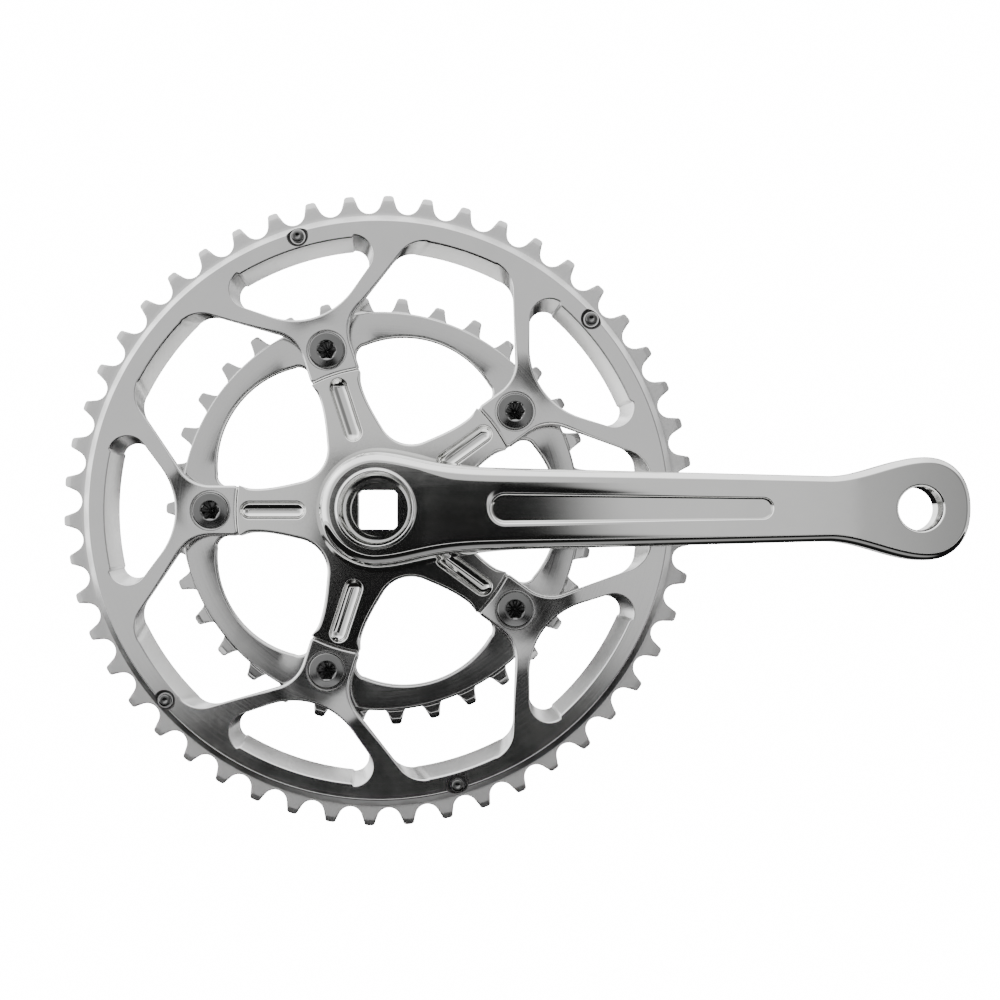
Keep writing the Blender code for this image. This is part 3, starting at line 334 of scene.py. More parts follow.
def thread_profile(
    radius: float, depth: float, pitch: float, top: float, bottom: float
) -> np.ndarray:
    """Profile of a threaded bore: the radius falls by the depth at every half pitch.

    Args:
        radius: radius at the thread's roots.
        depth: how far its crests stand in from the roots.
        pitch: distance from crest to crest.
        top: height of the bore's mouth.
        bottom: height of its end.

    Returns:
        Radius and height of each ring from the mouth down.
    """
    turns = max(int((top - bottom) / pitch), 1)
    heights = np.linspace(top, bottom, 2 * turns + 1)
    radii = radius - depth * (np.arange(len(heights)) % 2)
    return np.column_stack([radii, heights])


def rounded_corner(
    corner: tuple[float, float], before: tuple[float, float], after: tuple[float, float],
    radius: float, count: int = 5,
) -> np.ndarray:
    """A profile's corner rounded by an arc that touches the lines to the points before and after it."""
    middle = np.array(corner)
    return fillet(middle, np.array(before) - middle, np.array(after) - middle, radius, count)


class Skin:
    """Grids and flat fills of one piece, gathered until they become one closed mesh."""

    def __init__(self) -> None:
        """Start with nothing gathered."""
        self.points: list[np.ndarray] = []
        self.faces: list[list[int]] = []
        self.size = 0

    def keep(self, points: np.ndarray, faces: np.ndarray) -> None:
        """Keep points and the faces that index them.

        Args:
            points: the points, in any shape that ends in three numbers.
            faces: corners of each face, counted from the first of these points.
        """
        flat = points.reshape(-1, 3)
        self.faces += (faces + self.size).tolist()
        self.points.append(flat)
        self.size += len(flat)

    def grid(self, rings: np.ndarray, closed: bool = False) -> None:
        """Join each ring of points to the next with four-sided faces.

        Args:
            rings: (rings, points, 3), every ring closed on itself.
            closed: whether the last ring is joined to the first.
        """
        count, around = rings.shape[:2]
        place = np.arange(count if closed else count - 1)[:, None]
        index = np.arange(around)[None, :]
        here, there = place * around, (place + 1) % count * around
        following = (index + 1) % around
        quads = np.stack([here + index, here + following, there + following, there + index], axis=-1)
        self.keep(rings, quads.reshape(-1, 4))

    def cap(self, ring: np.ndarray) -> None:
        """Close a small ring with triangles to its middle.

        Args:
            ring: the ring's points in order.
        """
        count = len(ring)
        index = np.arange(count)
        faces = np.column_stack([index, (index + 1) % count, np.full(count, count)])
        self.keep(np.vstack([ring, ring.mean(axis=0)]), faces)

    def fill(
        self, outer: np.ndarray, holes: list[np.ndarray], heights: Heights, spacing: float
    ) -> None:
        """Fill the face between an outline and its holes, over a staggered grid of points.

        Args:
            outer: the face's outline.
            holes: outlines of its holes.
            heights: height of the face at each point.
            spacing: distance between the points inside, in millimetres.
        """
        loops = [outer, *holes]
        low, high = outer.min(axis=0), outer.max(axis=0)
        row_spacing = spacing * STAGGERED_ROW
        columns, rows = np.meshgrid(
            np.arange(low[0], high[0], spacing), np.arange(low[1], high[1], row_spacing)
        )
        columns[1::2] += spacing / 2.0
        seeds = np.column_stack([columns.ravel(), rows.ravel()])
        seeds = seeds[self.within(seeds, outer, holes)]
        for loop in loops:
            gaps = np.linalg.norm(seeds[:, None] - loop[None], axis=2).min(axis=1)
            seeds = seeds[gaps > spacing / 2.0]
        starts = np.cumsum([0] + [len(loop) for loop in loops])
        edges = np.concatenate([
            np.column_stack([np.arange(len(loop)), (np.arange(len(loop)) + 1) % len(loop)]) + start
            for loop, start in zip(loops, starts)
        ])
        corners = [Vector(point) for point in np.concatenate([*loops, seeds]).tolist()]
        made = delaunay_2d_cdt(corners, edges.tolist(), [], 1, 1e-6)
        flat = np.array([tuple(point) for point in made[0]])
        faces = np.array(made[2])
        faces = faces[self.within(flat[faces].mean(axis=1), outer, holes)]
        self.keep(np.column_stack([flat, heights(flat)]), faces)

    @staticmethod
    def within(points: np.ndarray, outer: np.ndarray, holes: list[np.ndarray]) -> np.ndarray:
        """Whether each point is inside the outline and in none of its holes.

        Args:
            points: the points to test.
            outer: the outline.
            holes: outlines of its holes.

        Returns:
            One truth value for each point.
        """
        kept = inside(points, outer)
        for hole in holes:
            kept &= ~inside(points, hole)
        return kept

    def mesh(self, name: str) -> bpy.types.Mesh:
        """Make the gathered faces one closed mesh: weld the seams and turn the faces outwards.

        Args:
            name: the mesh's name.

        Returns:
            The mesh, in metres and in the frame's axes.
        """
        local = np.concatenate(self.points) * MM
        mesh = bpy.data.meshes.new(name)
        spots = np.column_stack([local[:, 0], -local[:, 2], local[:, 1]])
        mesh.from_pydata(spots.tolist(), [], self.faces)
        shape = bmesh.new()
        shape.from_mesh(mesh)
        bmesh.ops.remove_doubles(shape, verts=shape.verts, dist=WELD_DISTANCE)
        bmesh.ops.dissolve_degenerate(shape, dist=WELD_DISTANCE / 10.0, edges=shape.edges)
        bmesh.ops.recalc_face_normals(shape, faces=shape.faces)
        loose = sum(1 for edge in shape.edges if len(edge.link_faces) != 2)
        shape.to_mesh(mesh)
        shape.free()
        LOG.info("%s: %d faces, %d open edges", name, len(mesh.polygons), loose)
        return mesh

    def cut_mesh(self, name: str, cutter: "Skin") -> bpy.types.Mesh:
        """Make the mesh with the cutter's shape taken out of it.

        Args:
            name: the mesh's name.
            cutter: the shape to take out.

        Returns:
            The cut mesh.
        """
        made = bpy.data.objects.new(name, self.mesh(name))
        tool = bpy.data.objects.new(f"{name}_cutter", cutter.mesh(f"{name}_cutter"))
        for thing in (made, tool):
            bpy.context.scene.collection.objects.link(thing)
        cut = made.modifiers.new("cut", "BOOLEAN")
        cut.operation, cut.solver, cut.object = "DIFFERENCE", "EXACT", tool
        whole = made.evaluated_get(bpy.context.evaluated_depsgraph_get())
        result = bpy.data.meshes.new_from_object(whole)
        for thing in (made, tool):
            bpy.data.objects.remove(thing)
        return result

    def piece(
        self, name: str, node: str, finish: "Finish", centre: np.ndarray,
        cutter: "Skin | None" = None,
    ) -> bpy.types.Object:
        """Make the finished piece and put it in the frame.

        Args:
            name: the piece's name.
            node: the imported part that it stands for.
            finish: its metal finish.
            centre: the point that its turning marks run round.
            cutter: a shape that is taken out of it.

        Returns:
            The piece, riding on its body.
        """
        mesh = self.cut_mesh(name, cutter) if cutter else self.mesh(name)
        mesh.shade_smooth()
        mesh.set_sharp_from_angle(angle=SHARP_ANGLE)
        self.mark_radius(mesh, centre)
        self.mark_milling(mesh, finish.band_start)
        made = bpy.data.objects.new(name, mesh)
        bpy.context.scene.collection.objects.link(made)
        mesh.materials.clear()
        mesh.materials.append(finish.material())
        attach(made, BODY)
        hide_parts(node)
        LOG.info("%s: finished in %s", name, finish.name)
        return made

    @staticmethod
    def mark_radius(mesh: bpy.types.Mesh, centre: np.ndarray) -> None:
        """Store each vertex's distance in millimetres from the line that the piece was turned about.

        Args:
            mesh: the piece's mesh.
            centre: where that line crosses the plane of the chainrings.
        """
        spots = np.empty(len(mesh.vertices) * 3, np.float32)
        mesh.vertices.foreach_get("co", spots)
        spots = spots.reshape(-1, 3)[:, [0, 2]] / MM
        attribute = mesh.attributes.new("turn_radius", "FLOAT", "POINT")
        reach = np.linalg.norm(spots - centre, axis=1)
        attribute.data.foreach_set("value", reach.astype(np.float32))

    @staticmethod
    def mark_milling(mesh: bpy.types.Mesh, band_start: float) -> None:
        """Mark each face that a cutter left: those past a radius, and the walls of openings.

        Args:
            mesh: the piece's mesh.
            band_start: the radius in millimetres, or 0 where nothing was milled.
        """
        if band_start <= 0.0:
            return
        count = len(mesh.polygons)
        centres = np.empty(count * 3, np.float32)
        normals = np.empty(count * 3, np.float32)
        mesh.polygons.foreach_get("center", centres)
        mesh.polygons.foreach_get("normal", normals)
        reach = np.linalg.norm(centres.reshape(-1, 3)[:, [0, 2]], axis=1) / MM
        wall = np.abs(normals.reshape(-1, 3)[:, 1]) < WALL_FACING
        attribute = mesh.attributes.new("milled", "FLOAT", "FACE")
        attribute.data.foreach_set("value", ((reach > band_start) | wall).astype(np.float32))


# ---------------------------------------------------------------- finishes


def linear(hex_colour: str) -> tuple[float, float, float, float]:
    """Linear colour of an sRGB hex value, by the sRGB curve's upper part."""
    channels = np.array([int(hex_colour[place:place + 2], 16) for place in (1, 3, 5)]) / 255.0
    return (*(((channels + 0.055) / 1.055) ** 2.4).tolist(), 1.0)


def add_node(
    tree: bpy.types.NodeTree, kind: str, settings: dict | None = None, inputs: dict | None = None
) -> bpy.types.Node:
    """Add a node with its settings and with values or links at its inputs.

    Args:
        tree: the node tree.
        kind: the node's type.
        settings: value of each of its settings.
        inputs: value or linked socket of each of its inputs, by name or place.

    Returns:
        The node.
    """
    node = tree.nodes.new(kind)
    for name, value in (settings or {}).items():
        setattr(node, name, value)
    for socket, value in (inputs or {}).items():
        if isinstance(value, bpy.types.NodeSocket):
            tree.links.new(value, node.inputs[socket])
        else:
            node.inputs[socket].default_value = value
    return node


class Marks(Enum):
    """The way that the last tool or cloth left its fine lines."""

    ROUND = "round the piece's own axis"
    LENGTHWISE = "along the arm"
    CLOUDED = "in no direction"


@dataclass(frozen=True)
class Finish:
    """A metal surface: its colour, how rough it is and the fine lines that its making left.

    line_spacing is the distance between lines in millimetres and line_depth their depth in millimetres.
    Real lines are a few hundredths of a millimetre apart, so they are drawn coarser to show.
    Past band_start, a radius in millimetres, and on the walls of openings the surface was milled and not
    brushed: it is rougher by band_roughness, with cutter marks as long as band_grit, in millimetres.
    """

    slot: str
    name: str
    colour: str
    shade: str
    roughness: float
    roughness_spread: float
    marks: Marks
    line_spacing: float
    line_depth: float
    band_start: float = 0.0
    band_roughness: float = 0.0
    band_grit: float = 1.0

    def material(self) -> bpy.types.Material:
        """Return the finish's material, made the first time that it is asked for."""
        known = bpy.data.materials.get(self.name)
        return known if known else self.make()

    def lines(self, tree: bpy.types.NodeTree, place: bpy.types.NodeSocket) -> bpy.types.NodeSocket:
        """Add the fine lines: noise along the radius, along the arm, or in no direction.

        Args:
            tree: the material's node tree.
            place: socket with the Object coordinates.

        Returns:
            The socket with the lines' height.
        """
        if self.marks is Marks.ROUND:
            radius = add_node(tree, "ShaderNodeAttribute", {"attribute_name": "turn_radius"})
            rate = {0: radius.outputs["Fac"], 1: 1.0 / self.line_spacing}
            turns = add_node(tree, "ShaderNodeMath", {"operation": "MULTIPLY"}, rate)
            wave = {"W": turns.outputs[0], "Scale": 1.0, "Detail": 3.0}
            return add_node(tree, "ShaderNodeTexNoise", {"noise_dimensions": "1D"}, wave).outputs["Fac"]
        rate = 1.0 / (self.line_spacing * MM)
        lengthwise = self.marks is Marks.LENGTHWISE
        stretch = (rate / LINE_STRETCH if lengthwise else rate, rate, rate)
        spread = add_node(tree, "ShaderNodeMapping", None, {"Vector": place, "Scale": stretch})
        wave = {"Vector": spread.outputs[0], "Scale": 1.0, "Detail": 3.0}
        return add_node(tree, "ShaderNodeTexNoise", None, wave).outputs["Fac"]

    def make(self) -> bpy.types.Material:
        """Build the material: metal with slow clouds of tone and roughness under the fine lines.

        Returns:
            The new material.
        """
        material = bpy.data.materials.new(self.name)
        material.use_nodes = True
        tree = material.node_tree
        shader = tree.nodes["Principled BSDF"]
        place = add_node(tree, "ShaderNodeTexCoord").outputs["Object"]
        cloud_size = {
            "Vector": place, "Scale": 1.0 / (CLOUD_SIZE * MM), "Detail": 4.0, "Roughness": 0.6
        }
        cloud = add_node(tree, "ShaderNodeTexNoise", None, cloud_size).outputs["Fac"]
        tones = {MIX_FACTOR: cloud, MIX_FIRST: linear(self.shade), MIX_SECOND: linear(self.colour)}
        tone = add_node(tree, "ShaderNodeMix", {"data_type": "RGBA"}, tones).outputs[MIX_RESULT]
        lines = self.lines(tree, place)
        blend = add_node(tree, "ShaderNodeMath", {"operation": "ADD"}, {0: cloud, 1: lines})
        limits = {
            "Value": blend.outputs[0],
            "From Min": 0.6,
            "From Max": 1.4,
            "To Min": self.roughness - self.roughness_spread,
            "To Max": self.roughness + self.roughness_spread,
        }
        rough = add_node(tree, "ShaderNodeMapRange", None, limits).outputs[0]
        if self.band_start > 0.0:
            band = add_node(tree, "ShaderNodeAttribute", {"attribute_name": "milled"}).outputs["Fac"]
            added = {0: band, 1: self.band_roughness, 2: rough}
            rough = add_node(tree, "ShaderNodeMath", {"operation": "MULTIPLY_ADD"}, added).outputs[0]
            grit_size = {"Vector": place, "Scale": 1.0 / (self.band_grit * MM), "Detail": 2.0}
            grit = add_node(tree, "ShaderNodeTexNoise", None, grit_size).outputs["Fac"]
            marks = {0: band, 1: grit}
            marked = add_node(tree, "ShaderNodeMath", {"operation": "MULTIPLY"}, marks).outputs[0]
            lifted = {0: marked, 1: GRIT_DEPTH, 2: lines}
            lines = add_node(tree, "ShaderNodeMath", {"operation": "MULTIPLY_ADD"}, lifted).outputs[0]
        bump = {"Height": lines, "Distance": self.line_depth * MM, "Strength": 1.0}
        normal = add_node(tree, "ShaderNodeBump", None, bump).outputs[0]
        shader.inputs["Metallic"].default_value = 1.0
        for socket, source in (("Base Color", tone), ("Roughness", rough), ("Normal", normal)):
            tree.links.new(source, shader.inputs[socket])
        return material


# Mirror-polished forged alloy, clear anodised: crisp reflections with a trace of lengthwise cloth marks.
POLISHED_ARM = Finish(
    "polished_arm_aluminium", "mirror_polished_anodised_alloy", "#EFEFED", "#E2E2E1",
    0.055, 0.012, Marks.LENGTHWISE, 0.35, 0.00012,
)
# The spider is buffed by hand in every direction, so its reflections are a little softer.
POLISHED_SPIDER = Finish(
    "polished_spider_aluminium", "buffed_anodised_alloy", "#F0F0EE", "#E4E4E3",
    0.06, 0.015, Marks.CLOUDED, 0.8, 0.00015,
)
# Ring plate turned on a lathe: satin grey with fine circular lines, and a milled, grittier toothed rim.
SATIN_OUTER = Finish(
    "satin_outer_ring_aluminium", "circular_brushed_ring_alloy", "#E9E9E8", "#DADADA",
    0.11, 0.03, Marks.ROUND, 0.45, 0.0008, 95.6, 0.20, 1.1,
)
# The inner ring has the same turned satin, a shade darker. Only its openings' walls were milled:
# its band starts past its teeth.
SATIN_INNER = Finish(
    "satin_inner_ring_aluminium", "circular_brushed_inner_ring_alloy", "#E4E4E3", "#D4D4D4",
    0.11, 0.03, Marks.ROUND, 0.45, 0.0010, 120.0, 0.20, 1.1,
)
# Oil-blackened steel: dark grey where it mirrors the light walls and black elsewhere.
BLACK_STEEL = Finish(
    "dark_bolt_steel", "oil_blackened_steel", "#8E8E8E", "#6E6E6E",
    0.13, 0.03, Marks.ROUND, 0.30, 0.0015,
)
# Bright zinc plate that has dulled a little: grey with a soft cloudy sheen.
PLATED_STEEL = Finish(
    "plated_nut_steel", "dulled_zinc_plated_steel", "#BFBFBC", "#A4A4A2",
    0.26, 0.06, Marks.ROUND, 0.30, 0.002,
)
# Riveted pin of plain dark steel, smoothed by the rivet tool.
PIN_STEEL = Finish(
    "shift_pin_steel", "riveted_dark_steel", "#767676", "#585858",
    0.18, 0.04, Marks.ROUND, 0.25, 0.002,
)
# Turned steel peg, left bright.
DROP_PIN_STEEL = Finish(
    "drop_pin_steel", "bright_turned_steel", "#C9C9C7", "#B4B4B2",
    0.20, 0.05, Marks.ROUND, 0.30, 0.002,
)


# ---------------------------------------------------------------- sub-assemblies


def layer(node: str) -> tuple[float, float]:
    """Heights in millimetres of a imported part's back and front."""
    low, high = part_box(node)
    return -high.y / MM, -low.y / MM


def middle(node: str) -> np.ndarray:
    """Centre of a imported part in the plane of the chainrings, in millimetres."""
    low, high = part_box(node)
    return np.array([low.x + high.x, low.z + high.z]) / 2.0 / MM


@dataclass
class Teeth:
    """Teeth for a 12.7 mm pitch chain: a roller seat between each pair of blunt tips."""

    count: int
    first_tip: float
    short_teeth: tuple[int, ...] = ()
    pitch: float = 12.7
    seat_radius: float = 3.95
    seat_half_angle: float = 64.0
    tip_lift: float = 1.95
    tip_half_width: float = 0.7
    tip_round: float = 1.15
    short_drop: float = 0.7
    thin_length: float = 1.9
    edge_round: float = 0.22

    @property
    def pitch_radius(self) -> float:
        """Half the chain's pitch over the sine of half a tooth's angle."""
        return self.pitch / (2.0 * np.sin(np.pi / self.count))

    @property
    def tip_radius(self) -> float:
        """Radius of the tooth tips."""
        return self.pitch_radius + self.tip_lift

    def outline(self) -> np.ndarray:
        """One tooth and the seat after it, turned once for each tooth.

        The tip's corners are quarter circles and the seat is an arc about the chain roller's centre.

        Returns:
            The points, counterclockwise.
        """
        step = 360.0 / self.count
        quarter = np.linspace(0.0, np.pi / 2.0, 5)
        upper = np.column_stack([
            self.tip_radius - self.tip_round * (1.0 - np.cos(quarter)),
            self.tip_half_width + self.tip_round * np.sin(quarter),
        ])
        tip = np.concatenate([upper[::-1] * (1.0, -1.0), [[self.tip_radius, 0.0]], upper])
        inward = step / 2.0 + 180.0
        seat = arc(
            polar(self.pitch_radius, step / 2.0),
            self.seat_radius,
            inward + self.seat_half_angle,
            inward - self.seat_half_angle,
            13,
        )
        drops = np.zeros(self.count)
        drops[list(self.short_teeth)] = self.short_drop
        tips = tip[None] - np.stack([drops, np.zeros(self.count)], axis=1)[:, None]
        seats = np.broadcast_to(seat, (self.count, *seat.shape))
        whole = np.concatenate([tips, seats], axis=1)
        angle = np.radians(self.first_tip + step * np.arange(self.count))
        matrices = np.stack([np.cos(angle), np.sin(angle), -np.sin(angle), np.cos(angle)], axis=1)
        return (whole @ matrices.reshape(-1, 2, 2)).reshape(-1, 2)

    def band(
        self, skin: Skin, inner: float, face: Heights, base: float, drop_rate: float
    ) -> np.ndarray:
        """Add the toothed band: its rounded edge, its front with thinner tips, and its flat back.

        Each ring follows the tooth outline, held in to its own radius, so rings gather at the seats.

        Args:
            skin: where the surfaces go.
            inner: radius where the band meets the ring's body.
            face: height of the band's front.
            base: height of its back.
            drop_rate: how fast the tooth faces get thinner towards their tips.

        Returns:
            The angles of the points round the band, in degrees.
        """
        outline = self.outline()
        start = self.tip_radius - self.thin_length

        def thinned(points: np.ndarray) -> np.ndarray:
            """Front height less the drop rate times the distance past the start of the thinning."""
            reach = np.linalg.norm(points, axis=-1) - start
            return face(points) - drop_rate * np.maximum(reach, 0.0)

        edge = Edge(self.edge_round, self.edge_round, 4)
        rings = edge_rings(outline, outline, thinned, level(base), 1.0, edge)
        skin.grid(rings)
        angles = np.degrees(np.arctan2(rings[0, :, 1], rings[0, :, 0]))
        for ring, heights in ((rings[0], thinned), (rings[-1], level(base))):
            reach = np.linalg.norm(ring[:, :2], axis=1)
            directions = ring[:, :2] / reach[:, None]
            stops = np.concatenate([[start + 0.12], np.linspace(start - 0.12, inner, 5)[:-1]])
            radii = np.minimum(reach[None], stops[:, None])
            radii = np.concatenate([reach[None], radii, np.full((1, len(ring)), inner)])
            flat = directions[None] * radii[:, :, None]
            skin.grid(np.concatenate([flat, heights(flat)[:, :, None]], axis=2))
        return angles


@dataclass
class OuterChainring:
    """Outer chainring: toothed band, raised body, windows, lobed opening and holes."""

    teeth: Teeth = field(default_factory=lambda: Teeth(50, 1.87, (22, 26, 42, 44)))
    band_drop: float = 2.4
    body_rim: float = 94.5
    step_rim: float = 96.4
    tab_half_width: float = 8.2
    tab_end: float = 46.5
    tab_corner: float = 1.3
    leg_fillet: float = 12.0
    leg_point: tuple[float, float] = (13.0, 64.5)
    leg_slope: float = 0.676
    valley: tuple[float, float] = (0.0, 60.6)
    valley_slope: float = 0.739
    valley_fillet: float = 24.2
    window_rims: tuple[float, float] = (89.4, 84.9)
    window_corners: tuple[float, float] = (6.5, 4.5)
    lobe_rims: tuple[float, float] = (89.0, 84.5)
    lobe_corners: tuple[float, float] = (10.0, 8.0)
    dish_depth: float = 0.6
    dish_start: float = 6.5
    dish_width: float = 14.0
    recess_radius: float = 6.5
    recess_floor: float = 2.7
    bolt_hole: float = 5.3
    pin_recess: tuple[float, float] = (3.55, 2.5)
    pin_floor: float = 2.0
    pin_hole: float = 1.9

    def window(self, rim_radius: float, corner_radius: float, degrees: float) -> np.ndarray:
        """One window between the legs of a Y: two rounded corners, the rim's arc and a round valley.

        Args:
            rim_radius: radius of the arc at its rim.
            corner_radius: radius of its corners.
            degrees: angle of the bolt below it.

        Returns:
            The points, counterclockwise.
        """
        valley = np.array(self.valley)
        corner = line_to_circle(valley, self.valley_slope, rim_radius)
        down_leg = np.array([-1.0, -self.valley_slope])
        along_rim = np.array([-corner[1], corner[0]])
        right = fillet(corner, down_leg, along_rim, corner_radius, 15)
        reach = np.degrees(np.arctan2(right[-1, 0], right[-1, 1]))
        rim = polar(rim_radius, np.linspace(90.0 - reach, 90.0 + reach, 61)[1:-1])
        left = right[::-1] * (-1.0, 1.0)
        towards = np.array([1.0, self.valley_slope])
        floor = fillet(valley, towards * (-1.0, 1.0), towards, self.valley_fillet, 25)
        lower_left = np.linspace(left[-1], floor[0], 14)[1:-1]
        lower_right = np.linspace(floor[-1], right[0], 14)[1:-1]
        return turned(np.concatenate([right, rim, left, lower_left, floor, lower_right]), degrees - 90.0)

    def opening(self, rim_radius: float, corner_radius: float) -> np.ndarray:
        """Five lobes that reach between the tabs: tab end, leg root, leg, shoulder and the rim's arc.

        Args:
            rim_radius: radius of the lobes' outer arcs.
            corner_radius: radius of their shoulders.

        Returns:
            The points, counterclockwise.
        """
        end = tab_tip(self.tab_half_width, self.tab_end, self.tab_corner)
        point = np.array(self.leg_point)
        up_leg = np.array([1.0, self.leg_slope])
        root_lift = self.leg_slope * (self.tab_half_width - point[0])
        root = np.array([self.tab_half_width, point[1] + root_lift])
        leg_root = fillet(root, np.array([0.0, -1.0]), up_leg, self.leg_fillet, 17)
        side = np.linspace(end[-1], leg_root[0], 6)[1:-1]
        corner = line_to_circle(point, self.leg_slope, rim_radius)
        shoulder = fillet(corner, -up_leg, np.array([corner[1], -corner[0]]), corner_radius, 17)
        leg = np.linspace(leg_root[-1], shoulder[0], 14)[1:-1]
        start = np.degrees(np.arctan2(shoulder[-1, 1], shoulder[-1, 0]))
        rim = polar(rim_radius, np.linspace(start, 90.0 - BOLT_STEP / 2.0, 14)[1:])
        return five_fold(np.concatenate([end, side, leg_root, leg, shoulder, rim]))

    def opening_wall(self, face: Heights, base: Heights) -> np.ndarray:
        """Rings down the lobed opening's slanted wall, whose front edge is rounder near the bolts.

        Args:
            face: height of the ring's front.
            base: height of its back.

        Returns:
            The rings from the front to the back, as (rings, points, 3).
        """
        front_line = self.opening(self.lobe_rims[0], self.lobe_corners[0])
        back_line = self.opening(self.lobe_rims[1], self.lobe_corners[1])
        reach = np.linalg.norm(front_line, axis=1)
        rounds = 0.35 + 0.55 * (1.0 - smooth((reach - 64.0) / 14.0))
        return edge_rings(front_line, back_line, face, base, -1.0, Edge(rounds, 0.3, 9))

    def window_wall(self, face: Heights, base: Heights, degrees: float) -> np.ndarray:
        """Rings down a window's slanted wall, whose front edge is rounder near its valley.

        Args:
            face: height of the ring's front.
            base: height of its back.
            degrees: angle of the bolt below the window.

        Returns:
            The rings from the front to the back, as (rings, points, 3).
        """
        front_line = self.window(self.window_rims[0], self.window_corners[0], degrees)
        back_line = self.window(self.window_rims[1], self.window_corners[1], degrees)
        reach = np.linalg.norm(front_line, axis=1)
        rounds = 0.25 + 0.45 * (1.0 - smooth((reach - 66.0) / 12.0))
        return edge_rings(front_line, back_line, face, base, -1.0, Edge(rounds, 0.3, 6))

    def build(self) -> None:
        """Build the ring and dress it."""
        back, front = layer("outer_chainring")
        band_front = front - self.band_drop
        bolts = polar(BOLT_CIRCLE, BOLT_ANGLES)

        def face(points: np.ndarray) -> np.ndarray:
            """Front height less a shallow dish round each bolt that fades by the smooth ramp."""
            gaps = np.linalg.norm(points[..., None, :] - bolts, axis=-1).min(axis=-1)
            return front - self.dish_depth * (1.0 - smooth((gaps - self.dish_start) / self.dish_width))

        skin = Skin()
        inner_band = self.step_rim + 0.15
        angles = self.teeth.band(skin, inner_band, level(band_front), back, 0.22)
        slope_profile = np.array([
            (inner_band, band_front),
            (self.step_rim, band_front + 0.03),
            (self.step_rim - 0.12, band_front + 0.16),
            (self.body_rim + 0.12, front - 0.16),
            (self.body_rim, front - 0.04),
            (self.body_rim - 0.2, front),
            (self.body_rim - 0.6, front),
        ])
        skin.grid(swept_rings(np.zeros(2), slope_profile, angles))
        walls = [self.opening_wall(face, level(back))]
        walls += [self.window_wall(face, level(back), degrees) for degrees in BOLT_ANGLES]
        bolt_profile = np.array([
            (self.recess_radius + 0.4, front),
            (self.recess_radius + 0.2, front),
            (self.recess_radius, front - self.dish_depth - 0.25),
            (self.recess_radius, front - self.recess_floor),
            (self.bolt_hole, front - self.recess_floor),
            (self.bolt_hole, back + 0.2),
            (self.bolt_hole + 0.2, back),
        ])
        for place in bolts:
            rings = turned_rings(place, bolt_profile, 72)
            rings[:2, :, 2] = face(rings[:2, :, :2])
            walls.append(rings)
        for rings in walls:
            skin.grid(rings)
        front_holes = [rings[0, :, :2] for rings in walls]
        back_holes = [rings[-1, :, :2] for rings in walls]
        skin.fill(polar(self.body_rim - 0.6, angles), front_holes, face, FINE_SPACING)
        skin.fill(polar(inner_band, angles), back_holes, level(back), COARSE_SPACING)
        cutter = self.pin_cutter(front, back)
        skin.piece("outer_chainring_plate", "outer_chainring", SATIN_OUTER, np.zeros(2), cutter)

    def pin_cutter(self, front: float, back: float) -> Skin:
        """Shape of the pins' countersunk recesses and of all the pins' holes: turned profiles.

        Args:
            front: height of the ring's front.
            back: height of its back.

        Returns:
            The closed shape to cut away.
        """
        lean = (self.pin_recess[0] - self.pin_recess[1]) / self.pin_floor
        mouth, beyond = 1.0, 0.05
        recess = [
            (beyond, front + mouth),
            (self.pin_recess[0] + lean * mouth, front + mouth),
            (self.pin_recess[1], front - self.pin_floor),
            (self.pin_hole, front - self.pin_floor),
        ]
        hole = [(self.pin_hole, back - mouth), (beyond, back - mouth)]
        start = [(beyond, front + mouth), (self.pin_hole, front + mouth)]
        pins = [middle(node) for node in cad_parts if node.startswith("shift_pin")]
        profiles = [(place, recess + hole) for place in pins]
        profiles.append((middle("chain_drop_pin"), start + hole))
        cutter = Skin()
        for place, profile in profiles:
            rings = turned_rings(place, np.array(profile), 40)
            cutter.grid(rings)
            cutter.cap(rings[0])
            cutter.cap(rings[-1])
        return cutter


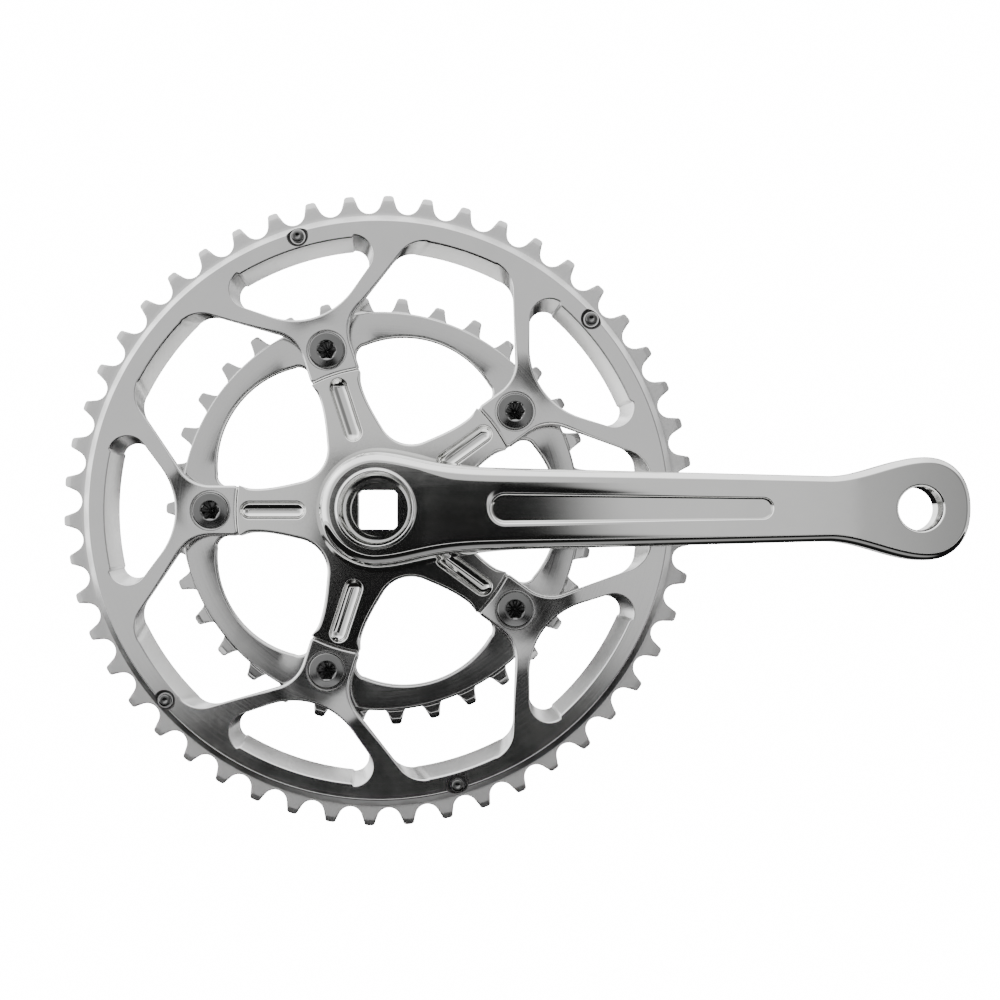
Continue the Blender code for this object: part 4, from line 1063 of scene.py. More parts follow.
@dataclass
class InnerChainring:
    """Inner chainring: toothed band round a body with five round lobes and its bolt holes."""

    teeth: Teeth = field(default_factory=lambda: Teeth(34, 9.79, (6, 21)))
    band_front_drop: float = 0.4
    band_back_lift: float = 0.7
    body_rim: float = 65.9
    rim_margin: float = 0.7
    tab_half_width: float = 8.2
    tab_end: float = 47.2
    tab_corner: float = 1.3
    lobe_centre: float = 25.3
    lobe_radius: float = 33.4
    lobe_fillet: float = 4.0
    edge_round: float = 0.95
    bow: float = 0.0056
    bow_fade: tuple[float, float] = (9.0, 8.0)
    bolt_hole: float = 5.3

    def opening(self) -> np.ndarray:
        """Five round lobes between the tabs: tab end, its side, a fillet and the lobe's arc.

        Returns:
            The points, counterclockwise.
        """
        centre = polar(self.lobe_centre, 90.0 - BOLT_STEP / 2.0)
        across = self.tab_half_width - centre[0]
        lift = np.sqrt(self.lobe_radius**2 - across**2)
        corner = np.array([self.tab_half_width, centre[1] + lift])
        root = fillet(corner, np.array([0.0, -1.0]), np.array([lift, -across]), self.lobe_fillet, 13)
        last = root[-1] - centre
        start = np.degrees(np.arctan2(last[1], last[0]))
        rim = arc(centre, self.lobe_radius, start, 90.0 - BOLT_STEP / 2.0, 34)[1:]
        end = tab_tip(self.tab_half_width, self.tab_end, self.tab_corner)
        side = np.linspace(end[-1], root[0], 4)[1:-1]
        return five_fold(np.concatenate([end, side, root, rim]))

    def build(self) -> None:
        """Build the ring and dress it."""
        back, front = layer("inner_chainring")
        band_front, band_back = front - self.band_front_drop, back + self.band_back_lift
        bolts = polar(BOLT_CIRCLE, BOLT_ANGLES)

        def face(points: np.ndarray) -> np.ndarray:
            """Front height less a bow: the distance in from the rim squared, faded near the bolts.

            Args:
                points: points in the plane of the chainrings.

            Returns:
                Height of the face at each point.
            """
            reach = np.linalg.norm(points, axis=-1)
            depth = np.maximum(self.body_rim - self.rim_margin - reach, 0.0)
            gaps = np.linalg.norm(points[..., None, :] - bolts, axis=-1).min(axis=-1)
            start, width = self.bow_fade
            return front - self.bow / 2.0 * depth**2 * smooth((gaps - start) / width)

        skin = Skin()
        inner_band = self.body_rim + 0.1
        angles = self.teeth.band(skin, inner_band, level(band_front), band_back, 0.16)
        for face_height, band_height in ((front, band_front), (back, band_back)):
            sign = np.sign(face_height - band_height)
            profile = np.array([
                (inner_band, band_height),
                (self.body_rim, band_height + sign * 0.05),
                (self.body_rim - 0.1, face_height - sign * 0.1),
                (self.body_rim - 0.25, face_height),
                (self.body_rim - self.rim_margin, face_height),
            ])
            skin.grid(swept_rings(np.zeros(2), profile, angles))
        opening = self.opening()
        edge = Edge(self.edge_round, 0.6, 8)
        walls = [edge_rings(opening, opening, face, level(back), -1.0, edge)]
        profile = np.array([
            (self.bolt_hole + 0.25, front),
            (self.bolt_hole, front - 0.25),
            (self.bolt_hole, back + 0.25),
            (self.bolt_hole + 0.25, back),
        ])
        walls += [turned_rings(place, profile, 48) for place in bolts]
        for rings in walls:
            skin.grid(rings)
        rim = polar(self.body_rim - self.rim_margin, angles)
        skin.fill(rim, [rings[0, :, :2] for rings in walls], face, FINE_SPACING)
        skin.fill(rim, [rings[-1, :, :2] for rings in walls], level(back), 5.0)
        skin.piece("inner_chainring_plate", "inner_chainring", SATIN_INNER, np.zeros(2))


@dataclass
class Spider:
    """Spider: hub, five arms with a round-bottomed groove each, and the thin tabs under the rings."""

    back: float = 7.5
    tab_front: float = 11.5
    void_radius: float = 11.0
    void_centre: float = 34.3
    void_angle: float = 41.0
    waist: tuple[float, float] = (7.1, 40.0)
    shoulder_radius: float = 46.2
    tab_half_width: float = 8.2
    tab_round: float = 8.0
    tab_root: float = 45.5
    hub_radius: float = 22.0
    bore_radius: float = 16.0
    groove: tuple[float, float] = (26.75, 42.05)
    groove_half_width: float = 2.85
    groove_lip: float = 0.35
    groove_depth: float = 2.2
    edge_round: float = 0.9
    bolt_hole: float = 5.3

    def outline(self) -> np.ndarray:
        """Hub and arms: shoulder arc, flared shoulder, curved flank and the round void between arms.

        Returns:
            The points, counterclockwise.
        """
        centre = polar(self.void_centre, 90.0 - BOLT_STEP / 2.0)
        inward = 270.0 - BOLT_STEP / 2.0
        corner = arc(centre, self.void_radius, inward - self.void_angle, inward, 17)
        tangent = -polar(1.0, inward - self.void_angle + 90.0)
        waist = np.array(self.waist)
        handle = (waist[1] - corner[0, 1]) / 3.0
        up = np.array([0.0, 1.0])
        flank = bezier(np.array([
            waist, waist - up * handle, corner[0] + tangent * handle, corner[0]
        ]), 15)[:-1]
        lift = np.sqrt(self.shoulder_radius**2 - self.tab_half_width**2)
        shoulder = np.array([self.tab_half_width, lift])
        rise = lift - waist[1]
        flare = bezier(np.array([
            shoulder, shoulder - np.array([0.3, 1.0]) * rise / 3.0, waist + up * rise / 2.0, waist
        ]), 9)[:-1]
        half_angle = np.degrees(np.arcsin(self.tab_half_width / self.shoulder_radius))
        end = polar(self.shoulder_radius, np.linspace(90.0, 90.0 - half_angle, 9))[:-1]
        return five_fold(np.concatenate([end, flare, flank, corner]))

    def capsule(self, inset: float, degrees: float) -> np.ndarray:
        """Outline of a groove set in from its edge: two half circles joined by straight sides.

        Args:
            inset: how far it is set in from the lip's outer edge.
            degrees: angle of the groove's arm.

        Returns:
            The points, counterclockwise.
        """
        radius = self.groove_half_width + self.groove_lip - inset
        outer = arc(np.array([0.0, self.groove[1]]), radius, 0.0, 180.0, 25)
        inner = arc(np.array([0.0, self.groove[0]]), radius, 180.0, 360.0, 25)
        left = np.linspace(outer[-1], inner[0], 8)[1:-1]
        right = np.linspace(inner[-1], outer[0], 8)[1:-1]
        return turned(np.concatenate([outer, left, inner, right]), degrees - 90.0)

    def groove_rings(self, front: float, degrees: float) -> np.ndarray:
        """Rings of a groove: a flat strip, a rounded lip, then a round bottom.

        The lip's drop is the lip's width times one less the root of one less a square. The bottom goes in
        by its half width times one less a cosine and down by its depth times the sine.

        Args:
            front: height of the spider's front.
            degrees: angle of the groove's arm.

        Returns:
            The rings from the front to the bottom, as (rings, points, 3).
        """
        lip = np.linspace(0.0, 1.0, 5)
        lip_insets = self.groove_lip * lip
        lip_drops = self.groove_lip * (1.0 - np.sqrt(1.0 - (0.92 * lip) ** 2))
        floor = np.linspace(0.0, 0.985, 15)[1:]
        turn = floor * np.pi / 2.0
        floor_insets = self.groove_lip + self.groove_half_width * (1.0 - np.cos(turn))
        floor_drops = lip_drops[-1] + self.groove_depth * np.sin(turn)
        insets = np.concatenate([[-2.0 * HOLD_WIDTH, -HOLD_WIDTH], lip_insets, floor_insets])
        drops = np.concatenate([[0.0, 0.0], lip_drops, floor_drops])
        rings = [
            np.column_stack([outline, np.full(len(outline), front - drop)])
            for outline, drop in zip((self.capsule(inset, degrees) for inset in insets), drops)
        ]
        return np.array(rings)

    def build(self) -> None:
        """Build the spider and dress it."""
        hub_back, front = layer("spider")
        skin = Skin()
        outline = self.outline()
        reach = np.linalg.norm(outline, axis=1)
        rounds = self.edge_round - (self.edge_round - 0.25) * smooth((reach - 43.0) / 2.5)
        rings = edge_rings(outline, outline, level(front), level(self.back), 1.0, Edge(rounds, 0.5, 9))
        skin.grid(rings)
        bore = circle(np.zeros(2), self.bore_radius, 96)
        bore_rings = edge_rings(bore, bore, level(front), level(self.back), -1.0, Edge(0.3, 0.3, 4))
        skin.grid(bore_rings)
        front_holes = [bore_rings[0, :, :2]]
        for degrees in BOLT_ANGLES:
            groove = self.groove_rings(front, degrees)
            skin.grid(groove)
            skin.fill(groove[-1, :, :2], [], level(groove[-1, 0, 2]), 2.0)
            front_holes.append(groove[0, :, :2])
        skin.fill(rings[0, :, :2], front_holes, level(front), 4.0)
        skin.fill(rings[-1, :, :2], [bore_rings[-1, :, :2]], level(self.back), 6.0)
        hub = np.array([
            (self.hub_radius - 0.5, hub_back),
            (self.hub_radius, hub_back + 0.5),
            (self.hub_radius, self.back + 0.6),
            (self.bore_radius, self.back + 0.6),
            (self.bore_radius, hub_back + 0.4),
            (self.bore_radius + 0.4, hub_back),
        ])
        skin.grid(turned_rings(np.zeros(2), hub, 96), closed=True)
        tab = np.concatenate([
            arc(np.array([0.0, BOLT_CIRCLE]), self.tab_round, 0.0, 180.0, 33),
            [[-self.tab_round, self.tab_root], [self.tab_round, self.tab_root]],
        ])
        for degrees, bolt in zip(BOLT_ANGLES, polar(BOLT_CIRCLE, BOLT_ANGLES)):
            plate = turned(tab, degrees - 90.0)
            hole = circle(bolt, self.bolt_hole, 48)
            face, base = level(self.tab_front), level(self.back)
            tab_rings = edge_rings(plate, plate, face, base, 1.0, Edge(0.4, 0.4, 4))
            hole_rings = edge_rings(hole, hole, face, base, -1.0, Edge(0.2, 0.2, 3))
            skin.grid(tab_rings)
            skin.grid(hole_rings)
            for place, height in ((0, self.tab_front), (-1, self.back)):
                skin.fill(tab_rings[place, :, :2], [hole_rings[place, :, :2]], level(height), 5.0)
        skin.piece("spider_forging", "spider", POLISHED_SPIDER, np.zeros(2))


@dataclass
class CrankArm:
    """Crank arm: boss with collar and tapered square, slotted arm and pedal eye."""

    length: float = 170.0
    boss_face: float = 38.6
    boss_base: float = 16.9
    boss_radius: float = 18.0
    root_half_width: float = 14.0
    taper: float = 0.0262
    neck_length: float = 17.0
    neck_end: float = 50.0
    waist_x: float = 142.0
    eye_x: float = 172.0
    eye_half_width: float = 16.2
    eye_tip_x: float = 186.4
    eye_power: float = 0.9
    eye_thickness: float = 13.5
    face_slope_x: tuple[float, float] = (14.0, 150.0)
    face_ease: float = 0.04
    back_slope_x: tuple[float, float] = (21.0, 150.0)
    back_step: float = 2.0
    back_step_length: float = 19.0
    bevel_widths: tuple[float, float] = (3.4, 2.2)
    bevel_drop: float = 4.6
    crown_width: float = 1.3
    crown_slope: float = 0.05
    crown_span: tuple[float, float, float, float] = (14.0, 26.0, 118.0, 142.0)
    back_round: float = 2.2
    flare: float = 2.3
    flare_side: float = 0.75
    flare_power: float = 2.5
    flare_span: tuple[float, float] = (12.0, 48.0)
    collar_radius: float = 12.5
    mouth_radius: float = 11.8
    thread_radius: float = 11.2
    thread_depth: float = 0.45
    thread_end: float = 29.0
    runout_radius: float = 9.9
    seat_height: float = 27.0
    seat_inner: float = 8.5
    square_top: float = 24.5
    square_half: float = 6.25
    square_taper: float = 2.0
    square_corner: float = 5.2
    spigot_radius: float = 15.7
    slot_x: tuple[float, float] = (36.2, 124.2)
    slot_half_widths: tuple[float, float] = (4.4, 3.3)
    slot_insets: tuple[float, float] = (0.6, 0.45)
    slot_edges: tuple[float, float] = (0.75, 0.35)
    slot_edge_run: float = 80.0
    slot_depth: float = 2.0
    dip_width: float = 2.2
    dip_slope: float = 0.08
    dip_least: float = 0.2
    dip_loss: float = 0.9
    dip_rise: tuple[float, float] = (-1.5, 4.0)
    dip_fade: tuple[float, float] = (50.0, 110.0)
    pedal_hole: float = 7.15
    pedal_mouth: float = 7.45
    pedal_thread: tuple[float, float] = (0.3, 1.27)
    fill_spacing: float = 3.0

    def half_width(self, along: np.ndarray) -> np.ndarray:
        """Half the arm's width: a taper, a bell that joins it to the boss, and a ramp to the eye.

        Args:
            along: distances from the crank axis.

        Returns:
            Half the width at each distance.
        """
        neck = (self.boss_radius - self.root_half_width) * np.exp(-((along / self.neck_length) ** 2))
        shaft = self.root_half_width - self.taper * np.minimum(along, self.waist_x) + neck
        flare = smooth((along - self.waist_x) / (self.eye_x - self.waist_x))
        return shaft + (self.eye_half_width - shaft) * flare

    def outline(self) -> np.ndarray:
        """Whole outline: half circle, shaft, and an eye drawn by powers of the sine and cosine.

        Returns:
            The points, counterclockwise.
        """
        boss = polar(self.boss_radius, np.linspace(180.0, 90.0, 46))
        places = np.concatenate([
            np.linspace(0.0, self.neck_end, 51)[1:],
            np.linspace(self.neck_end, self.waist_x, 40)[1:],
            np.linspace(self.waist_x, self.eye_x, 31)[1:-1],
        ])
        shaft = np.column_stack([places, self.half_width(places)])
        angle = np.linspace(np.pi / 2.0, 0.0, 40)
        power = self.eye_power
        reach = (self.eye_tip_x - self.eye_x) * np.clip(np.cos(angle), 0.0, 1.0) ** power
        eye = np.column_stack([self.eye_x + reach, self.eye_half_width * np.sin(angle) ** power])
        upper = np.concatenate([boss, shaft, eye])
        return np.concatenate([upper * (1.0, -1.0), upper[-2:0:-1]])

    def face(self, points: np.ndarray) -> np.ndarray:
        """Outer face height: level at the boss and the eye, an almost straight slope between.

        Args:
            points: points in the plane of the chainrings.

        Returns:
            Height of the face at each point.
        """
        front = layer("crank_arm")[1]
        start, end = self.face_slope_x
        share = np.clip((points[..., 0] - start) / (end - start), 0.0, 1.0)
        share = share + self.face_ease * (smooth(share) - share)
        return self.boss_face + (front - self.boss_face) * share

    def underside(self, points: np.ndarray) -> np.ndarray:
        """Inner face height: level at the boss, a small step, then a straight rise to the eye.

        Args:
            points: points in the plane of the chainrings.

        Returns:
            Height of the underside at each point.
        """
        front = layer("crank_arm")[1]
        start, end = self.back_slope_x
        rise = front - self.eye_thickness - self.boss_base - self.back_step
        step = smooth((points[..., 0] - start) / self.back_step_length)
        share = np.clip((points[..., 0] - start) / (end - start), 0.0, 1.0)
        return self.boss_base + self.back_step * step + rise * share

    def body_rings(self) -> np.ndarray:
        """Rings from the outer face round the bevel and down the side to the rounded inner edge.

        Buffing has rounded the face a little before the bevel: its slope grows evenly over the crown.
        The bevel is a quarter of an ellipse: in by its width times one less the cosine of its angle, and
        down by its depth times one less the sine. The side flares out at the boss by a power of its
        depth.

        Returns:
            The rings from the outer face to the inner one, as (rings, points, 3).
        """
        outline = self.outline()
        inward = loop_normals(outline)
        along = outline[:, 0]
        wide, narrow = self.bevel_widths
        width = wide + (narrow - wide) * smooth(along / self.waist_x)
        low, high = self.flare_span
        base_share = 1.0 - smooth((along - low) / (high - low))
        start, full, fading, end = self.crown_span
        crown = self.crown_width * smooth((along - start) / (full - start))
        crown = crown * (1.0 - smooth((along - fading) / (end - fading)))
        crown_drop = self.crown_slope / 2.0 * crown
        rings = []

        def ring(inset: np.ndarray, heights: Heights) -> None:
            """Keep one ring, moved in from the outline."""
            spots = outline + inward * inset[:, None]
            rings.append(np.column_stack([spots, heights(spots)]))

        def lowered(inset: np.ndarray, drop: np.ndarray) -> None:
            """Keep one ring that lies a given drop below the face."""
            ring(inset, lambda spots: self.face(spots) - drop)

        for share in np.linspace(1.0, 0.0, 6):
            lowered(width + 0.12 + (crown + 0.2) * share, crown_drop * (1.0 - share) ** 2)
        for angle in np.linspace(np.pi / 2.0, 0.0, 13):
            drop = self.bevel_drop * (1.0 - np.sin(angle))
            lowered(width * (1.0 - np.cos(angle)), drop + crown_drop)
        for share in np.linspace(0.0, 1.0, 13)[1:]:
            def side(spots: np.ndarray, share: float = share) -> np.ndarray:
                """Height at a share of the way down the side."""
                top = self.face(spots) - self.bevel_drop - crown_drop
                return top + (self.underside(spots) + self.back_round - top) * share
            ring(-self.flare * self.flare_side * base_share * share**self.flare_power, side)
        for angle in np.linspace(0.0, np.pi / 2.0, 7)[1:]:
            tuck = self.back_round * (1.0 - np.cos(angle)) * (1.0 - base_share)
            side_share = self.flare_side + (1.0 - self.flare_side) * np.sin(angle)
            spread = self.flare * base_share * side_share
            lift = self.back_round * (1.0 - np.sin(angle))
            ring(tuck - spread, lambda spots, lift=lift: self.underside(spots) + lift)
        ring(self.back_round * (1.0 - base_share) - self.flare * base_share + 0.2, self.underside)
        return np.array(rings)

    def slot_outline(self, start_inset: float, end_inset: float) -> np.ndarray:
        """Tapered slot: two unlike half circles joined by straight sides.

        Args:
            start_inset: how far it is set in at the boss's end.
            end_inset: how far it is set in at the eye's end.

        Returns:
            The points, counterclockwise.
        """
        start, end = np.array(self.slot_half_widths)
        start_centre = np.array([self.slot_x[0] + start, 0.0])
        end_centre = np.array([self.slot_x[1] - end, 0.0])
        right = arc(end_centre, end - end_inset, -90.0, 90.0, 25)
        left = arc(start_centre, start - start_inset, 90.0, 270.0, 25)
        top = np.linspace(right[-1], left[0], 50)[1:-1]
        bottom = np.linspace(left[-1], right[0], 50)[1:-1]
        return np.concatenate([right, top, left, bottom])

    def slot_floor(self, points: np.ndarray) -> np.ndarray:
        """Height of the slot's floor, which runs beside the face."""
        return self.face(points) - self.slot_depth

    def slot_rings(self) -> np.ndarray:
        """Rings from the face down into the slot.

        Buffing has rounded the face towards the slot: its slope grows evenly over the dip's width, so its
        drop grows as a square. The dip is strongest above the slot and at the boss's end. A rounded edge
        and the wall follow.

        Returns:
            The rings from the face to the slot's floor, as (rings, points, 3).
        """
        slot = self.slot_outline(0.0, 0.0)
        wide, narrow = self.slot_edges
        run = (slot[:, 0] - self.slot_x[0]) / self.slot_edge_run
        edge = narrow + (wide - narrow) * (1.0 - smooth(run))
        start, end = self.dip_fade
        low, rise = self.dip_rise
        least = self.dip_least

        def dipped(points: np.ndarray, share: float = 1.0) -> np.ndarray:
            """Face height less a share of the dip, which fades along the arm and below the slot.

            Args:
                points: points in the plane of the chainrings.
                share: share of the whole dip.

            Returns:
                Height of the dipped face at each point.
            """
            fade = 1.0 - self.dip_loss * smooth((points[..., 0] - start) / (end - start))
            fade = fade * (least + (1.0 - least) * smooth((points[..., 1] - low) / rise))
            return self.face(points) - self.dip_slope * self.dip_width / 2.0 * fade * share

        outward = -loop_normals(slot)
        spread = self.dip_width * (least + (1.0 - least) * smooth(outward[:, 1]))
        rings = []
        for gap in np.linspace(1.0, 0.0, 8)[:-1]:
            spots = slot + outward * (edge + HOLD_WIDTH + spread * gap)[:, None]
            rings.append(np.column_stack([spots, dipped(spots, (1.0 - gap) ** 2)]))
        low_line = self.slot_outline(*self.slot_insets)
        wall = edge_rings(slot, low_line, dipped, self.slot_floor, -1.0, Edge(edge, 0.0, 9))
        return np.concatenate([np.array(rings), wall])

    def square_radius(self, angles: np.ndarray, height: float) -> np.ndarray:
        """Radius of the square socket: the nearest of its flats and of its cut-off corners.

        Args:
            angles: angles from +X, in degrees.
            height: height of the section through the socket.

        Returns:
            The radius at each angle.
        """
        growth = (self.square_top - height) * np.tan(np.radians(self.square_taper))
        folded = np.abs((angles + 45.0) % 90.0 - 45.0)
        flat = (self.square_half + growth) / np.cos(np.radians(folded))
        corner = (self.square_half + self.square_corner + 2.0 * growth) / np.sqrt(2.0)
        return np.minimum(flat, corner / np.cos(np.radians(45.0 - folded)))

    def boss_rings(self, top: float) -> np.ndarray:
        """Rings from the boss's face over the collar, down the thread and square, and up the spigot.

        Args:
            top: height of the collar.

        Returns:
            The rings, as (rings, points, 3).
        """
        face = self.boss_face
        outer, inner = self.collar_radius, self.mouth_radius - 0.1
        crown_outer = rounded_corner((outer, top), (outer, face), (inner, top), 0.6)
        mouth = rounded_corner((inner, top), (outer, top), (self.thread_radius, top - 0.8), 0.3)
        profile = np.concatenate([
            [(self.collar_radius + 0.35, face), (self.collar_radius + 0.2, face),
             (self.collar_radius + 0.06, face + 0.06), (self.collar_radius, face + 0.2)],
            crown_outer,
            mouth,
            thread_profile(self.thread_radius, self.thread_depth, 1.0, top - 0.9, self.thread_end),
            [(self.runout_radius, self.thread_end - 0.1), (self.runout_radius, self.seat_height + 0.2),
             (self.runout_radius - 0.2, self.seat_height), (self.seat_inner + 0.2, self.seat_height),
             (self.seat_inner, self.seat_height - 0.2), (self.seat_inner, self.square_top)],
        ])
        count = 240
        angles = np.arange(count) * 360.0 / count
        rings = [turned_rings(np.zeros(2), profile, count)]
        sections = ((self.square_top, 0.25), (self.square_top - 0.25, 0.0), (0.3, 0.0), (0.0, 0.3))
        for height, relief in sections:
            spots = polar(self.square_radius(angles, height) + relief, angles)
            rings.append(np.column_stack([spots, np.full(count, height)])[None])
        spigot = np.array([
            (self.spigot_radius - 0.5, 0.0),
            (self.spigot_radius, 0.5),
            (self.spigot_radius, self.boss_base - 0.2),
            (self.spigot_radius + 0.2, self.boss_base),
        ])
        rings.append(turned_rings(np.zeros(2), spigot, count))
        return np.concatenate(rings)

    def build(self) -> None:
        """Build the arm and dress it."""
        top = self.boss_face + 1.0
        front = layer("crank_arm")[1]
        back = front - self.eye_thickness
        skin = Skin()
        body = self.body_rings()
        skin.grid(body)
        boss = self.boss_rings(top)
        skin.grid(boss)
        mouth = self.pedal_mouth
        chamfer = mouth - self.pedal_hole
        depth, pitch = self.pedal_thread
        pedal_profile = np.concatenate([
            [(mouth + 0.3, front), (mouth + 0.1, front), (mouth, front - 0.06)],
            thread_profile(self.pedal_hole, depth, pitch, front - chamfer, back + chamfer),
            [(mouth, back + 0.06), (mouth + 0.1, back), (mouth + 0.3, back)],
        ])
        pedal = turned_rings(np.array([self.length, 0.0]), pedal_profile, 120)
        skin.grid(pedal)
        slot_rings = self.slot_rings()
        skin.grid(slot_rings)
        spacing = self.fill_spacing
        skin.fill(slot_rings[-1, :, :2], [], self.slot_floor, spacing)
        holes = [boss[0, :, :2], slot_rings[0, :, :2], pedal[0, :, :2]]
        skin.fill(body[0, :, :2], holes, self.face, spacing)
        skin.fill(body[-1, :, :2], [boss[-1, :, :2], pedal[-1, :, :2]], self.underside, spacing)
        skin.piece("crank_arm_forging", "crank_arm", POLISHED_ARM, np.zeros(2))


@dataclass
class ChainringBolt:
    """Chainring bolt: coned head with a six-lobed socket, and its shank."""

    node: str
    head_radius: float = 5.98
    socket_radius: float = 2.75
    lobe_share: float = 0.085
    shank_radius: float = 4.0
    head_thickness: float = 2.1

    def build(self) -> None:
        """Build the bolt and dress it. The socket's radius swells by a cosine six times round."""
        end, face = layer(self.node)
        centre = middle(self.node)
        count = 96
        angles = np.arange(count) * 360.0 / count
        socket = self.socket_radius * (1.0 + self.lobe_share * np.cos(np.radians(6.0 * angles)))
        rings = []
        for scale, drop in ((0.04, 5.6), (0.9, 2.1), (1.0, 1.8), (1.0, 0.3), (1.04, 0.16)):
            spots = centre + polar(socket * scale, angles)
            rings.append(np.column_stack([spots, np.full(count, face - drop)]))
        head, shank = self.head_radius, self.shank_radius
        profile = np.array([
            (3.12, face - 0.05), (3.22, face), (3.5, face - 0.02), (5.4, face - 0.19),
            (5.55, face - 0.205), (head - 0.32, face - 0.26), (head - 0.08, face - 0.5),
            (head, face - 0.8), (head, face - self.head_thickness),
            (shank, face - self.head_thickness), (shank, end + 0.4), (shank - 0.4, end), (0.5, end),
        ])
        skin = Skin()
        whole = np.concatenate([np.array(rings), turned_rings(centre, profile, count)])
        skin.grid(whole)
        skin.cap(whole[0])
        skin.cap(whole[-1])
        skin.piece(f"{self.node}_machined", self.node, BLACK_STEEL, centre)


@dataclass
class SleeveNut:
    """Sleeve nut behind the inner ring: flange with a driver slot, and a plain sleeve."""

    node: str
    flange_radius: float = 6.3
    flange_thickness: float = 1.3
    sleeve_radius: float = 5.0
    bore_radius: float = 4.3
    bore_end: float = 2.2
    slot_half_width: float = 1.0
    slot_depth: float = 1.0

    def build(self) -> None:
        """Build the nut and dress it. The slot lifts the flange's back by the smooth ramp."""
        back, front = layer(self.node)
        centre = middle(self.node)
        radius, sleeve, shoulder = self.flange_radius, self.sleeve_radius, back + self.flange_thickness
        flange = np.column_stack([np.linspace(0.15, radius - 0.4, 24), np.full(24, back)])
        profile = np.concatenate([
            flange,
            [(radius - 0.12, back + 0.12), (radius, back + 0.4), (radius, shoulder), (sleeve, shoulder),
             (sleeve, front - 0.2), (sleeve - 0.2, front), (self.bore_radius + 0.2, front)],
            thread_profile(self.bore_radius, 0.0, 1.0, front - 0.2, back + self.bore_end),
            [(0.15, back + self.bore_end)],
        ])
        rings = turned_rings(centre, profile, 96)
        bearing = np.degrees(np.arctan2(centre[1], centre[0]))
        across = turned(rings[..., :2] - centre, -bearing)[..., 1]
        cut = smooth((self.slot_half_width + 0.12 - np.abs(across)) / 0.24) * self.slot_depth
        on_flange = rings[..., 2] < back + self.slot_depth
        rings[..., 2] = np.where(on_flange, np.maximum(rings[..., 2], back + cut), rings[..., 2])
        skin = Skin()
        skin.grid(rings)
        skin.cap(rings[0])
        skin.cap(rings[-1])
        skin.piece(f"{self.node}_machined", self.node, PLATED_STEEL, centre)


@dataclass
class RivetedPin:
    """Pin riveted through the outer ring, drawn by its turned profile from the front to the back."""

    node: str
    finish: Finish
    head_radius: float
    head_back: float
    shank_radius: float = 1.6
    peg_radius: float = 2.6
    peg_front: float = 11.5

    def build(self) -> None:
        """Build the pin and dress it: domed head with a rivet dimple, shank and peg."""
        end, face = layer(self.node)
        radius, shank, peg = self.head_radius, self.shank_radius, self.peg_radius
        profile = np.array([
            (0.1, face - 0.45), (0.5, face - 0.36), (0.8, face - 0.05), (0.95, face),
            (radius * 0.7, face - 0.03), (radius - 0.25, face - 0.14), (radius - 0.07, face - 0.32),
            (radius, face - 0.6), (radius, self.head_back), (shank, self.head_back),
            (shank, self.peg_front), (peg - 0.1, self.peg_front), (peg, self.peg_front - 0.1),
            (peg, end + 0.5), (peg - 0.15, end + 0.15), (peg - 0.5, end), (0.1, end),
        ])
        rings = turned_rings(middle(self.node), profile, 48)
        skin = Skin()
        skin.grid(rings)
        skin.cap(rings[0])
        skin.cap(rings[-1])
        skin.piece(f"{self.node}_machined", self.node, self.finish, middle(self.node))


# ---------------------------------------------------------------- studio


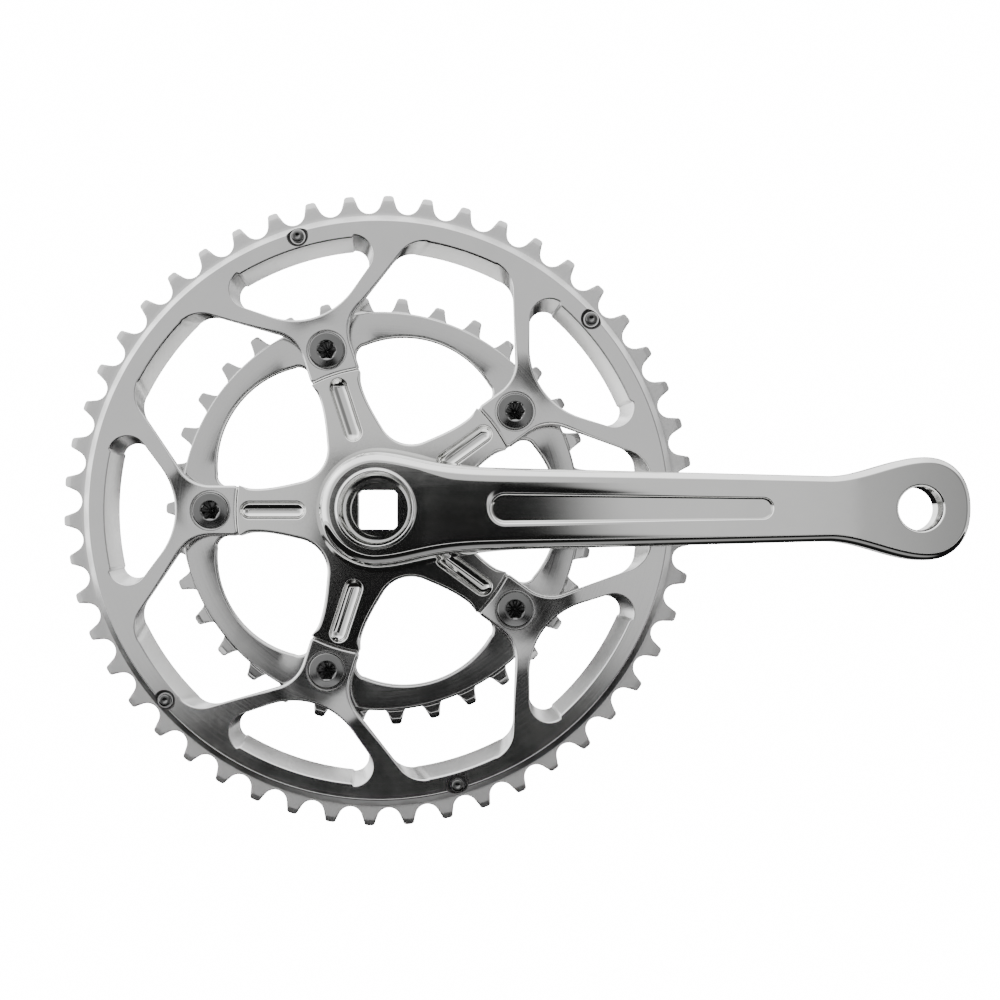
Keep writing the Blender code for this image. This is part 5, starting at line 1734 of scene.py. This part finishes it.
@dataclass
class Studio:
    """White studio: bright on the left and above, grey on the right, dark below and in front."""

    camera_place: tuple[float, float, float] = (0.02584, -0.59285, -0.01485)
    lens: float = 63.76
    shift: tuple[float, float] = (0.042, 0.056)
    floor_height: float = -0.5
    floor_radius: float = 1.1
    floor_sides: int = 64

    def camera(self) -> None:
        """Place the camera straight in front of the chainrings, looking along the crank axis."""
        data = bpy.data.cameras.new("camera")
        data.lens = self.lens
        data.shift_x, data.shift_y = self.shift
        made = bpy.data.objects.new("camera", data)
        made.location = self.camera_place
        made.rotation_euler = (np.pi / 2.0, 0.0, 0.0)
        bpy.context.scene.collection.objects.link(made)
        bpy.context.scene.camera = made

    def floor(self) -> None:
        """Lay a round pale floor well below the crankset."""
        rim = circle(np.zeros(2), self.floor_radius, self.floor_sides)
        corners = np.column_stack([rim, np.full(self.floor_sides, self.floor_height)])
        mesh = bpy.data.meshes.new("floor")
        mesh.from_pydata(corners.tolist(), [], [list(range(self.floor_sides))])
        material = bpy.data.materials.new("matt_white_floor_paint")
        material.use_nodes = True
        shader = material.node_tree.nodes["Principled BSDF"]
        shader.inputs["Base Color"].default_value = linear("#F2F2F1")
        shader.inputs["Roughness"].default_value = 0.9
        mesh.materials.append(material)
        made = bpy.data.objects.new("floor", mesh)
        bpy.context.scene.collection.objects.link(made)
        made.visible_glossy = False

    @staticmethod
    def calculate(
        tree: bpy.types.NodeTree, values: dict[str, bpy.types.NodeSocket], steps: tuple[tuple, ...]
    ) -> None:
        """Add one maths node for each step and keep what it gives under the step's name.

        Args:
            tree: the world's node tree.
            values: sockets known so far, by name.
            steps: name, operation and operands of each step. An operand is a name or a number.
        """
        for name, operation, *operands in steps:
            inputs = {place: values.get(value, value) for place, value in enumerate(operands)}
            node = add_node(tree, "ShaderNodeMath", {"operation": operation}, inputs)
            values[name] = node.outputs[0]

    def light(self) -> None:
        """Light the scene from all round with soft walls.

        A dark figure stands in front: it is everything within a width of an upright line, where the width
        grows exponentially as the view drops, so that it widens into shoulders and then a dark ground.
        Each step names a value, an operation and its operands, and each ramp a value, what it reads,
        that value's range and its own. Azimuth and elevation are in degrees, from the front.
        """
        world = bpy.data.worlds.new("studio")
        bpy.context.scene.world = world
        world.use_nodes = True
        tree = world.node_tree
        direction = add_node(tree, "ShaderNodeTexCoord").outputs["Generated"]
        split = add_node(tree, "ShaderNodeSeparateXYZ", None, {0: direction})
        values = {"x": split.outputs[0], "y": split.outputs[1], "z": split.outputs[2]}
        values["seen"] = add_node(tree, "ShaderNodeLightPath").outputs["Is Camera Ray"]
        degrees = 180.0 / np.pi
        steps = (
            ("front", "MULTIPLY", "y", -1.0),
            ("turn", "ARCTAN2", "x", "front"),
            ("azimuth", "MULTIPLY", "turn", degrees),
            ("rise", "ARCSINE", "z"),
            ("elevation", "MULTIPLY", "rise", degrees),
            ("aside", "ADD", "azimuth", 1.9),
            ("other_side", "MULTIPLY", "aside", -1.0),
            ("fall", "MULTIPLY", "elevation", -1.0 / 2.5),
            ("growth", "EXPONENT", "fall"),
            ("width", "MULTIPLY_ADD", "growth", 0.873, 1.9),
            ("past_right", "SUBTRACT", "aside", "width"),
            ("past_left", "SUBTRACT", "other_side", "width"),
            ("left", "MULTIPLY", "x", -1.0),
        )
        self.calculate(tree, values, steps)
        ramps = (
            ("right_lit", "past_right", -0.7, 2.9, 0.0, 1.0),
            ("left_lit", "past_left", -0.15, 0.45, 0.0, 1.0),
            ("over", "elevation", 3.0, 3.4, 0.0, 1.0),
            ("from_left", "left", 0.40, 0.95, 0.0, 1.9),
            ("right_edge", "x", 0.12, 0.35, 0.0, -0.60),
            ("from_right", "x", 0.65, 0.90, 0.0, 0.60),
            ("from_top", "z", 0.30, 0.70, 0.0, 1.6),
            ("line_low", "elevation", -16.0, -14.5, 0.0, 1.3),
            ("line_high", "elevation", -11.5, -10.0, 1.0, 0.0),
            ("ground", "z", -0.86, -0.985, 0.0, 0.36),
        )
        sockets = ("Value", "From Min", "From Max", "To Min", "To Max")
        for name, value, *limits in ramps:
            inputs = dict(zip(sockets, (values[value], *limits)))
            node = add_node(tree, "ShaderNodeMapRange", {"interpolation_type": "SMOOTHSTEP"}, inputs)
            values[name] = node.outputs[0]
        steps = (
            ("beside", "MAXIMUM", "right_lit", "left_lit"),
            ("lit", "MAXIMUM", "beside", "over"),
            ("right", "ADD", "right_edge", "from_right"),
            ("walls", "ADD", "from_left", "right"),
            ("upper", "ADD", "walls", "from_top"),
            ("bright", "ADD", "upper", 0.85),
            ("line", "MULTIPLY", "line_low", "line_high"),
            ("low", "ADD", "line", "ground"),
            ("dim", "ADD", "low", 0.010),
            ("difference", "SUBTRACT", "bright", "dim"),
            ("brightness", "MULTIPLY_ADD", "lit", "difference", "dim"),
            ("backdrop", "MULTIPLY", "seen", 16.0),
            ("shown", "MAXIMUM", "brightness", "backdrop"),
        )
        self.calculate(tree, values, steps)
        background = tree.nodes["Background"]
        tree.links.new(values["shown"], background.inputs["Color"])


def main() -> None:
    """Build the crankset's pieces and the studio round them."""
    logging.basicConfig(level=logging.INFO, format="%(message)s")
    studio = Studio()
    studio.camera()
    OuterChainring().build()
    InnerChainring().build()
    Spider().build()
    CrankArm().build()
    for index in range(1, BOLT_COUNT + 1):
        ChainringBolt(f"chainring_bolt_{index}").build()
        SleeveNut(f"chainring_nut_{index}").build()
    for node in sorted(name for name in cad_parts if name.startswith("shift_pin")):
        RivetedPin(node, PIN_STEEL, head_radius=2.05, head_back=14.6).build()
    RivetedPin("chain_drop_pin", DROP_PIN_STEEL, head_radius=2.4, head_back=16.6).build()
    studio.floor()
    studio.light()


if __name__ == "__main__":
    main()
